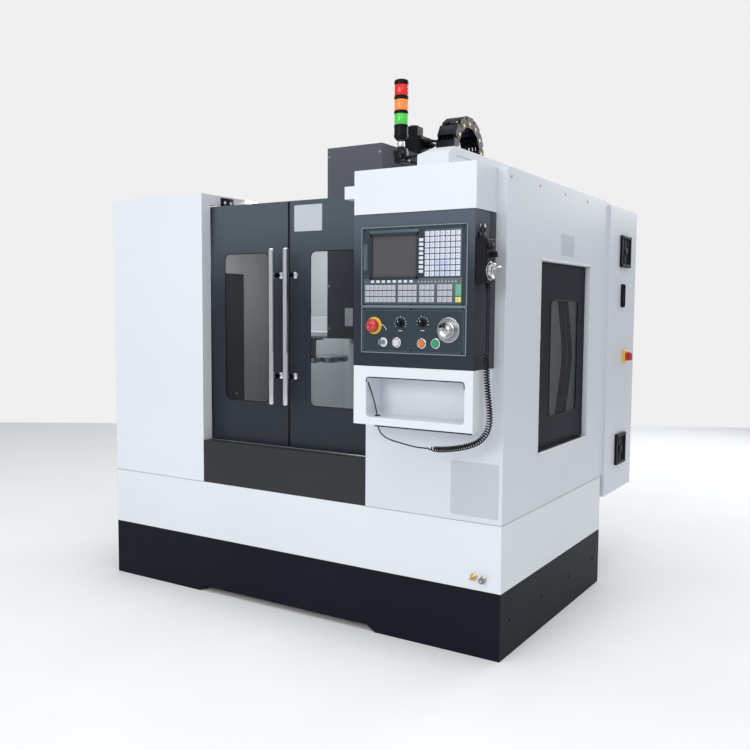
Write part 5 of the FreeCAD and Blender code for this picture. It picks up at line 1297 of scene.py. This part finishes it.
cap = turned("servo_cap", ((0, 0), (26, 0), (26, 3), (23, 5), (0, 5)), -12, SERVO_TOP, SERVO_Y, 48, UP)
fit(cap, "machine", SATIN_BLACK, "black_plastic")
print("servo: ten grooves and two plugs")


# %% Cables on the roof
def cable(name, route, radius, body="machine", material=None, slot="hose_rubber"):
    line = spline_curve(name, [at(*p) for p in route], 6)
    line.bevel_depth = radius * MM
    line.bevel_resolution = 3
    line.use_fill_caps = True
    begin()
    piece = bpy.data.objects.new(name, line)
    bpy.context.scene.collection.objects.link(piece)
    piece.select_set(True)
    bpy.context.view_layer.objects.active = piece
    bpy.ops.object.convert(target="MESH")
    return fit(bpy.context.object, body, material or RUBBER, slot)


plug_x = 52 + 34 + 20
cable("servo_cable",
      ((plug_x, SERVO_Y - 14, SERVO_LOW + 132), (plug_x + 30, SERVO_Y - 14, SERVO_LOW + 130),
       (plug_x + 52, SERVO_Y - 10, SERVO_LOW + 70), (plug_x + 50, SERVO_Y, SERVO_LOW - 40),
       (plug_x + 50, SERVO_Y + 60, SERVO_LOW - 240), (plug_x + 50, 1330, 1560), (215, 1330, 1420)), 7)
(DU_X0, _, _), (DU_X1, DU_Y1, DU_TOP) = inside("cable_duct")
screws("duct_screws",
       line_up(((DU_X0 + DU_X1) / 2 + 16, 140, DU_TOP), ((DU_X0 + DU_X1) / 2 + 16, DU_Y1 - 90, DU_TOP), 6),
       UP, 5, "machine", SILVER)
lid = slab("duct_lid_seam", (DU_X0 - 0.6, 190, 1836), (DU_X0, DU_Y1 - 30, 1838), 0.2)
lid_side = slab("duct_lid_seam", (DU_X1, 60, 1836), (DU_X1 + 0.6, DU_Y1 - 30, 1838), 0.2)
fit(join("duct_lid_seams", [lid, lid_side]), "machine", SEALANT, "side_grey_paint")
cable("light_cable",
      ((LIGHT_X + 10, LIGHT_Y + 8, 1840), (LIGHT_X + 22, LIGHT_Y + 40, 1836),
       (LIGHT_X + 60, LIGHT_Y + 62, 1830), (DU_X0 + 6, LIGHT_Y + 66, 1826)), 4)
print("cables on the roof are on")

# %% [markdown]
# ## Electric cabinet
#
# Air goes in and out through two filter fans with slanting slats. The pull is a shallow cup, and the main
# switch is a red handle on a yellow plate.

# %% Filter fans, pull and main switch
(_, CB_Y0, CB_Z0), (CB_X1, CB_Y1, CB_Z1) = inside("cabinet_door")
FAN_Y, FAN_LOW, FAN_HIGH = CB_Y0 + 229.5, CB_Z0 + 201, CB_Z1 - 202
fittings = []
for z in (FAN_LOW, FAN_HIGH):
    frame_piece = border("fan_frame", (CB_X1, FAN_Y - 75, z - 75), (CB_X1 + 12, FAN_Y + 75, z + 75), 0, 7, 14,
                         1.5)
    slat = slab("slat", (CB_X1 + 1, FAN_Y - 62, z - 58), (CB_X1 + 8.5, FAN_Y + 62, z - 54.5), 0.6)
    place = at(CB_X1 + 5, FAN_Y, z - 56)
    slat.data.transform(about(place, Matrix.Rotation(math.radians(38), 4, "Y")))
    slats = repeat(slat, 13, (0, 0, 9.3))
    back = slab("back", (CB_X1 + 0.2, FAN_Y - 62, z - 62), (CB_X1 + 1.4, FAN_Y + 62, z + 62), 0)
    hub = rod("hub", (CB_X1 + 1, FAN_Y, z), (CB_X1 + 10.5, FAN_Y, z), 17, 40, 1.5)
    bars = [slab("bar", (CB_X1 + 2, FAN_Y + d - 2, z - 61), (CB_X1 + 10, FAN_Y + d + 2, z + 61), 0.5)
            for d in (-31, 31)]
    fittings += [frame_piece, slats, back, hub] + bars
PULL_Y, PULL_Z = CB_Y0 + 202.5, FAN_HIGH - 211
pull = border("pull", (CB_X1, PULL_Y - 17, PULL_Z - 56), (CB_X1 + 14, PULL_Y + 17, PULL_Z + 56), 0, 15, 4.5,
              1.2)
cup = slab("cup", (CB_X1 + 0.2, PULL_Y - 14, PULL_Z - 52), (CB_X1 + 5, PULL_Y + 14, PULL_Z + 52), 1)
latch = slab("latch", (CB_X1 + 4, PULL_Y - 7, PULL_Z - 30), (CB_X1 + 11.5, PULL_Y + 7, PULL_Z + 24), 2.5)
fittings += [pull, cup, latch]
black_parts = coated(join("fittings", fittings), BLACK)
SW_Y, SW_Z = CB_Y0 + 269.5, PULL_Z - 294
switch_plate = slab("switch_plate", (CB_X1, SW_Y - 34, SW_Z - 34), (CB_X1 + 5, SW_Y + 34, SW_Z + 34), 0)
choose(switch_plate, "EDGE", lambda e: abs((e.verts[0].co - e.verts[1].co).x) > 4 * MM)
bpy.ops.mesh.bevel(offset=9 * MM, segments=6)
done()
switch_plate = soften(switch_plate, 1.2 * MM, 2)
collar = turned("switch_collar", ((7, 4), (31, 4), (31, 9.5), (28.5, 12), (7, 12), (7, 4)), CB_X1, SW_Z, SW_Y,
                56, SIDEWAYS)
yellow_parts = coated(join("switch_plate", [switch_plate, collar]), YELLOW)
fittings = join("cabinet_fittings_dressed", [black_parts, yellow_parts])
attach(fittings, "cabinet_door")
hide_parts("cabinet_fittings")
dial = turned("main_switch_handle", ((0, 12.5), (22, 12.5), (22, 17.5), (19.5, 20), (0, 20)), CB_X1, SW_Z,
              SW_Y, 48, SIDEWAYS)
wing = slab("wing", (CB_X1 + 16, SW_Y - 6, SW_Z - 20), (CB_X1 + 40, SW_Y + 6, SW_Z + 20), 0)
choose(wing, "EDGE",
       lambda e: abs((e.verts[0].co - e.verts[1].co).y) > 9 * MM and e.verts[0].co.x > at(CB_X1 + 30, 0, 0).x)
bpy.ops.mesh.bevel(offset=7 * MM, segments=4)
done()
fit(join("main_switch_handle", [dial, soften(wing, 1.2 * MM, 2)]), "main_switch", RED, "red_plastic",
    "main_switch_knob")
pointer = slab("switch_pointer", (CB_X1 + 40, SW_Y - 1, SW_Z + 3), (CB_X1 + 40.3, SW_Y + 1, SW_Z + 12), 0)
fit(pointer, "main_switch", MARK, "white_plastic")
print("cabinet fittings are on")

# %% Cabinet hinges, seal and joint strip
hinges = []
for z in (CB_Z0 + 150, (CB_Z0 + CB_Z1) / 2, CB_Z1 - 150):
    hinges.append(rod("knuckle", (CB_X1 - 14, CB_Y1 + 4, z - 40), (CB_X1 - 14, CB_Y1 + 4, z + 40), 4, 24, 1))
    hinges.append(slab("leaf", (CB_X1 - 40, CB_Y1, z - 36), (CB_X1 - 13, CB_Y1 + 2, z + 36), 0.8))
fit(join("cabinet_hinges", hinges), "cabinet_door", ZINC, "galvanised_steel")
strip = slab("cabinet_joint_strip", (HOUSE_X1 - 14, HOUSE_Y1 + 0.4, CB_Z0 + 106),
             (HOUSE_X1 + 1.2, HOUSE_Y1 + 4.2, CB_Z1 - 1), 0.5)
fit(strip, "machine", WHITE, "white_paint")
gasket = border("cabinet_gasket", (inside("cabinet_shell")[1][0] - 0.3, CB_Y0 + 14, CB_Z0 + 10),
                (inside("cabinet_shell")[1][0] + 0.4, CB_Y1 - 10, CB_Z1 - 10), 0, 6, 8, 0)
fit(gasket, "machine", RUBBER, "black_plastic")
print("hinges and gasket are on")

# %% [markdown]
# ## Service door
#
# The door in the right side is a dark tray with a tall window in a rubber seal. The recess round it has a
# pale trim, which is the brightest line on that side of the machine.

# %% Service door: trim, seal and latch
(_, SD_Y0, SD_Z0), (_, SD_Y1, SD_Z1) = inside("right_side_door")
# The trim keeps the front's white, while the side's coat around it carries painted shade.
trim = border("recess_trim", (HOUSE_X1 - 0.2, SD_Y0 - 11, SD_Z0 - 11),
              (HOUSE_X1 + 1.4, SD_Y1 + 11, SD_Z1 + 11), 0, 4, 7.6, 0.5)
fit(trim, "machine", WHITE, "white_paint")
LEAF_X = 980
jamb = [slab("jamb_rear", (LEAF_X - 2, SD_Y1 + 1.6, SD_Z0), (HOUSE_X1, SD_Y1 + 2.9, SD_Z1), 0.2),
        slab("jamb_top", (LEAF_X - 2, SD_Y0, SD_Z1 + 1.6), (HOUSE_X1, SD_Y1, SD_Z1 + 2.9), 0.2)]
fit(join("recess_lining", jamb), "machine", WHITE, "white_paint")
(_, SP_Y0, SP_Z0), (SP_X1, SP_Y1, SP_Z1) = inside("right_side_pane")
seal = border("side_window_seal", (SP_X1 - 0.2, SP_Y0 + 16, SP_Z0 + 16),
              (LEAF_X + 1.6, SP_Y1 - 16, SP_Z1 - 16), 0, 29, 6, 0.5)
fit(seal, "side_door", RUBBER, "black_plastic")
catch = [slab("catch", (LEAF_X, SD_Y0 + 22, 1075), (LEAF_X + 5, SD_Y0 + 52, 1185), 3),
         slab("lever", (LEAF_X + 4, SD_Y0 + 30, 1085), (LEAF_X + 14, SD_Y0 + 44, 1150), 3)]
fit(join("side_latch", catch), "side_door", SATIN_BLACK, "black_plastic")
print("service door trim and seal are on")

# %% [markdown]
# ## Couplings on the apron
#
# Air and coolant come in through two hose nipples. One is brass and one has a blue release collar.

# %% Couplings
OUTWARD = (0, -1, 0)
brass_parts, blue_parts = [], []
for number, (x, z) in enumerate(((894, 299), (932, 295))):
    brass_parts.append(turned("flange", ((0, 0), (13.6, 0), (13.6, 2.2), (11.8, 3.6), (9.5, 4.2), (0, 4.2)),
                              x, z, 0, 40, OUTWARD))
    brass_parts.append(rod("hexagon", (x, -4, z), (x, -13, z), 10.2, 6, 0.9))
    profile = ((0, 12), (5.6, 12), (5.6, 16), (7.0, 17.5), (5.8, 20), (7.0, 21.5), (5.8, 24), (6.6, 25.4),
               (5.2, 29.6), (3.0, 29.8), (3.0, 24), (0, 24))
    brass_parts.append(turned("nipple", profile, x, z, 0, 32, OUTWARD))
    if number == 1:
        blue_parts.append(turned("release",
                                 ((7.4, 13.2), (11.2, 13.2), (11.8, 15), (11.8, 21), (11.0, 22.6),
                                  (7.4, 22.6), (7.4, 13.2)), x, z, 0, 36, OUTWARD))
couplings = join("couplings",
                 [coated(join("brass", brass_parts), BRASS), coated(join("blue", blue_parts), BLUE_CAP)])
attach(couplings, "machine")
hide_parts("quick_couplings")
print("two couplings")

# %% Hook beside the pocket
hook = [rod("plate", (449, -2.5, 886), (449, 0, 886), 10, 32, 0.8)]
fit(join("hook_plate", hook), "machine", CHROME, "polished_chrome")
cable("hook_wire",
      ((449, -1, 886), (448, -30, 887), (446, -60, 888), (438, -82, 890), (430, -86, 897), (428, -84, 906)),
      3.4, "machine", CHROME, "polished_chrome")

# %% [markdown]
# ## Feet and base
#
# Eight levelling feet would stand in the corners of a real machine. The base hides most of them, so four
# screws with lock nuts show through the anchor holes.

# %% Anchor screws
anchors = []
for x in (-HOUSE_X1 + 42, HOUSE_X1 - 42):
    for y in (42, HOUSE_Y1 - 62):
        anchors.append(rod("shank", (x, y, 0.5), (x, y, 46), 9, 28, 0.8))
        anchors.append(rod("nut", (x, y, 8), (x, y, 22), 17, 6, 1.0))
        anchors.append(rod("head", (x, y, 46), (x, y, 58), 15, 6, 1.0))
fit(join("anchor_screws", anchors), "machine", ZINC, "galvanised_steel")
print("anchor screws:", len(anchors) // 3)

# %% [markdown]
# ## Work chamber
#
# Behind the doors the walls are lined with grey sheet. A dark service panel with two rods hangs on the
# left, and a lamp and coolant nozzles serve the spindle.

# %% Chamber liners and service panel
(_, _, PAN_Z) = inside("apron_panels")[1]
left_liner = slab("liner_left", (-994, 130, PAN_Z + 6), (-990, HOUSE_Y1 - 12, 1720), 1.0)
fit(left_liner, "machine", LINER, "side_grey_paint")
rear_liner = [slab("liner_rear_left", (-986, HOUSE_Y1 - 9, PAN_Z + 6), (-456, HOUSE_Y1 - 5, 1720), 1.0),
              slab("liner_rear_low", (-456, HOUSE_Y1 - 9, PAN_Z + 6), (-212, HOUSE_Y1 - 5, 1140), 1.0),
              slab("liner_rear_high", (-456, HOUSE_Y1 - 9, 1245), (-212, HOUSE_Y1 - 5, 1720), 1.0),
              slab("liner_rear_right", (318, HOUSE_Y1 - 9, PAN_Z + 6), (860, HOUSE_Y1 - 5, 1520), 1.0)]
fit(join("rear_liners", rear_liner), "machine", LINER_PALE, "side_grey_paint")
folds = slab("liner_folds", (-990, 300, PAN_Z + 20), (-987.5, 304, 1700), 0.5)
folds = repeat(folds, 6, (0, 150, 0))
fit(folds, "machine", LINER, "side_grey_paint")
panel = slab("service_panel", (-987, 345, 725), (-975, 900, 1462), 3)
fit(panel, "machine", PANEL_BLACK, "black_plastic")
rods = [rod("rod", (-966, y, 740), (-966, y, 1440), 6, 24, 0.8) for y in (420, 470)]
clips = [slab("clip", (-976, y - 11, z), (-957, y + 11, z + 16), 2) for y in (420, 470)
         for z in (760, 1090, 1400)]
fit(join("service_rods", rods), "machine", STEEL, "ground_steel")
fit(join("service_clips", clips), "machine", SATIN_BLACK, "black_plastic")
knobs = [rod("knob", (-975, y, z), (-962, y, z), 7, 24, 1.2)
         for y, z in ((560, 1380), (640, 1180), (700, 960), (820, 800))]
fit(join("panel_knobs", knobs), "machine", SILVER, "galvanised_steel")
print("chamber is lined")

# %% Work lamp and coolant nozzles
lamp_body = [slab("lamp_body", (-330, 150, 1700), (330, 196, 1722), 4)]
fit(join("work_lamp", lamp_body), "machine", SILVER, "galvanised_steel")
lamp_glass = rod("lamp_glass", (-318, 173, 1694), (318, 173, 1694), 12, 32, 1.5)
fit(lamp_glass, "machine", KEY_WHITE, "white_plastic")
(_, HEAD_Y0, HEAD_Z0), _ = inside("head_cover")
for number, (x, y) in enumerate(((96, HEAD_Y0 + 70), (72, HEAD_Y0 + 26))):
    route = ((x, y, HEAD_Z0 + 4), (x + 5, y - 5, HEAD_Z0 - 28), (x + 2, y + 2, HEAD_Z0 - 60),
             (x - 12, y + 12, HEAD_Z0 - 84))
    cable(f"coolant_hose_{number}", route, 8, "head", BLUE_CAP, "hose_rubber")
    nozzle = rod("nozzle", (x - 11, y + 11, HEAD_Z0 - 82), (x - 26, y + 24, HEAD_Z0 - 106), 8, 28, 0.8)
    nozzle.name = f"coolant_nozzle_{number}"
    fit(nozzle, "head", ORANGE_CAP, "orange_plastic")
screws("cover_screws",
       line_up((-138, HEAD_Y0, 1180), (-138, HEAD_Y0, 1980),
               5) + line_up((138, HEAD_Y0, 1180), (138, HEAD_Y0, 1980), 5), (0, -1, 0), 4.5, "head", SILVER)
print("lamp, nozzles and cover screws are on")

# %% [markdown]
# ## Rear and roof
#
# The column's rear hatches have lids. Lifting eyes stand on the column, a short conduit runs from the
# cabinet to the duct, and the rear panels have stiffening beads and louvres.

# %% Column lids, lifting eyes and rear details
_, (_, COL_Y1, COL_Z1) = inside("column_casting")
for number, z in enumerate((760, 1180, 1600)):
    lid = slab(f"hatch_lid_{number}", (-128, COL_Y1, z - 18), (128, COL_Y1 + 3, z + 278), 1)
    fit(lid, "machine", CAST, "casting_paint")
    corners = [(x, COL_Y1 + 3, h) for x in (-116, 116) for h in (z - 6, z + 130, z + 266)]
    screws(f"hatch_screws_{number}", corners, (0, 1, 0), 5, "machine", STEEL)
eyes = []
for x in (-160, 160):
    eyes.append(rod("stem", (x, 1480, COL_Z1), (x, 1480, COL_Z1 + 14), 13, 32, 1.5))
    eyes.append(ring("eye", (x, 1480, COL_Z1 + 36), (1, 0, 0), 20, 6.5, 40, 14))
fit(join("lifting_eyes", eyes), "machine", ZINC, "galvanised_steel")
beads = []
for z in (700, 1000, 1300):
    bead = slab("bead", (-930, HOUSE_Y1 + 3, z), (-520, HOUSE_Y1 + 7, z + 16), 0)
    choose(bead, "EDGE", lambda e: True)
    bpy.ops.mesh.select_all(action="SELECT")
    bpy.ops.mesh.bevel(offset=3 * MM, segments=3)
    done()
    beads.append(bead)
fit(join("rear_beads", beads), "machine", SHADED_WHITE, "side_grey_paint")
slot_piece = slab("rear_louvres", (-900, HOUSE_Y1 + 2.8, 1480), (-560, HOUSE_Y1 + 8, 1486), 0)
choose(slot_piece, "FACE", lambda f: f.normal.y > 0.9)
bpy.ops.transform.translate(value=(0, 0, -5 * MM))
done()
slot_piece = repeat(slot_piece, 10, (0, 0, 20))
fit(slot_piece, "machine", SHADED_WHITE, "side_grey_paint")
cable("cabinet_conduit",
      ((700, 1300, 1757), (700, 1300, 1762), (700, 1290, 1775), (700, 1270, 1790), (700, 1258, 1800)), 15)
glands = [rod("gland", (460 + 70 * k, 1400, 400), (460 + 70 * k, 1400, 384), 15, 12, 1.5) for k in range(5)]
fit(join("cabinet_glands", glands), "machine", SATIN_BLACK, "black_plastic")
for k in range(3):
    x = 460 + 70 * k
    cable(f"rear_cable_{k}",
          ((x, 1400, 386), (x, 1400, 340), (x - 20, 1380, 300), (x - 60, 1320, 280), (x - 80, 1230, 290),
           (x - 80, 1120, 300)), 6.5)
left_lines = []
for k in range(3):
    left_lines.append(rod("gland", (-700 + 34 * k, HOUSE_Y1 + 3, 560), (-700 + 34 * k, HOUSE_Y1 + 20, 560),
                          11, 12, 1))
fit(join("rear_glands", left_lines), "machine", SATIN_BLACK, "black_plastic")
print("rear details are on")

# %% Inside the cabinet: mounting plate and rails
# The cabinet stays open for drives and switchgear, so only their mounting plate and rails are there.
(SHELL_X0, SHELL_Y0, SHELL_Z0), _ = inside("cabinet_shell")
plate_piece = slab("mounting_plate", (SHELL_X0 + 3, SHELL_Y0 + 50, SHELL_Z0 + 60),
                   (SHELL_X0 + 6, CB_Y1 - 50, CB_Z1 - 60), 0.6)
fit(plate_piece, "machine", ZINC, "galvanised_steel")
rails = []
for z in (620, 900, 1180, 1460):
    for foot in (-17.5, 12.5):
        rails.append(slab("rail_foot", (SHELL_X0 + 12.5, SHELL_Y0 + 75, z + foot),
                          (SHELL_X0 + 13.5, CB_Y1 - 75, z + foot + 5), 0.2))
    rails.append(slab("rail_web", (SHELL_X0 + 6, SHELL_Y0 + 75, z - 12.5),
                      (SHELL_X0 + 13.5, CB_Y1 - 75, z + 12.5), 0.4))
fit(join("mounting_rails", rails), "machine", SILVER, "galvanised_steel")
print("cabinet has its mounting plate and", len(rails) // 3, "rails")

# %% Left side: access plate
cover = slab("access_plate", (HOUSE_X0 - 1.4, 420, 760), (HOUSE_X0, 860, 1300), 0)
choose(cover, "EDGE", lambda e: abs((e.verts[0].co - e.verts[1].co).x) > 1.2 * MM)
bpy.ops.mesh.bevel(offset=14 * MM, segments=6)
done()
fit(soften(cover, 0.5 * MM, 1), "machine", SHADED_WHITE, "side_grey_paint")
corners = [(HOUSE_X0 - 1.4, y, z) for y in (438, 640, 842) for z in (778, 1282)]
screws("access_screws", corners, (-1, 0, 0), 5, "machine", SILVER, 0.7)
print("left side has its access plate")

# %% [markdown]
# ## Light and floor
#
# A large soft light stands in front, near the middle, so the front panels are the brightest. A weak one
# lights the right side, and three more light the roof, the work chamber and the rear. An even pale
# surrounding fills the shadows. The floor is a pale plane that ends some metres behind the machine.

# %% Floor
FLOOR_BEHIND = 5270      # from the middle of the machine to the floor's far edge
FLOOR_REACH = 30000      # how far it runs the other ways
FLOOR_TURN = 32          # degrees, so that the far edge lies level behind the machine

begin()
bpy.ops.mesh.primitive_plane_add(size=1, location=(0, 0, 0))
floor = bpy.context.object
bpy.ops.object.mode_set(mode="EDIT")
bpy.ops.transform.resize(value=(2 * FLOOR_REACH * MM, (FLOOR_BEHIND + FLOOR_REACH) * MM, 1))
bpy.ops.transform.translate(value=(0, (FLOOR_BEHIND - FLOOR_REACH) / 2 * MM, 0))
bpy.ops.object.mode_set(mode="OBJECT")
floor.rotation_euler[2] = math.radians(FLOOR_TURN)
floor = settle("floor")
floor_paint, nodes, links, shader = new_material("pale floor")
tint(nodes, links, shader, grain(nodes, links, 2.0), (0.90, 0.905, 0.91), (0.92, 0.925, 0.93))
shader.inputs["Roughness"].default_value = 0.8
shader.inputs["Specular IOR Level"].default_value = 0.0
coat(floor, floor_paint)
print("floor ends", FLOOR_BEHIND, "mm behind the machine")

# %% Surroundings
world = bpy.data.worlds.new("surroundings")
bpy.context.scene.world = world
world.use_nodes = True
nodes, links = world.node_tree.nodes, world.node_tree.links
sky = nodes["Background"]
sky.inputs["Color"].default_value = (0.94, 0.97, 1.0, 1)
sky.inputs["Strength"].default_value = 0.52
backdrop = nodes.new("ShaderNodeBackground")
backdrop.inputs["Color"].default_value = (0.87, 0.87, 0.875, 1)
backdrop.inputs["Strength"].default_value = 1.0
rays = nodes.new("ShaderNodeLightPath")
choice = nodes.new("ShaderNodeMixShader")
links.new(rays.outputs["Is Camera Ray"], choice.inputs["Fac"])
links.new(sky.outputs["Background"], choice.inputs[1])
links.new(backdrop.outputs["Background"], choice.inputs[2])
links.new(choice.outputs["Shader"], nodes["World Output"].inputs["Surface"])


# %% Lamps
def lamp(name, place, aim, size, power):
    data = bpy.data.lights.new(name, "AREA")
    data.shape = "RECTANGLE"
    data.size, data.size_y = size
    data.energy = power
    light = bpy.data.objects.new(name, data)
    bpy.context.scene.collection.objects.link(light)
    away = (at(*aim) - at(*place)).to_track_quat("-Z", "Y")
    light.matrix_world = Matrix.Translation(at(*place)) @ away.to_matrix().to_4x4()
    return light


lamp("key light", (100, -7000, 3400), (0, 200, 900), (4.0, 2.6), 190)
lamp("side light", (5600, -3800, 4200), (600, 500, 1200), (3.0, 3.0), 30)
lamp("top light", (600, -1200, 6500), (600, -1200, 0), (7.0, 7.0), 200)
lamp("chamber light", (-620, 480, 1740), (-300, 620, 700), (0.5, 0.5), 7)
lamp("rear light", (1200, 6200, 3400), (0, 900, 900), (3.4, 2.4), 110)
bpy.context.scene.view_settings.view_transform = "Standard"
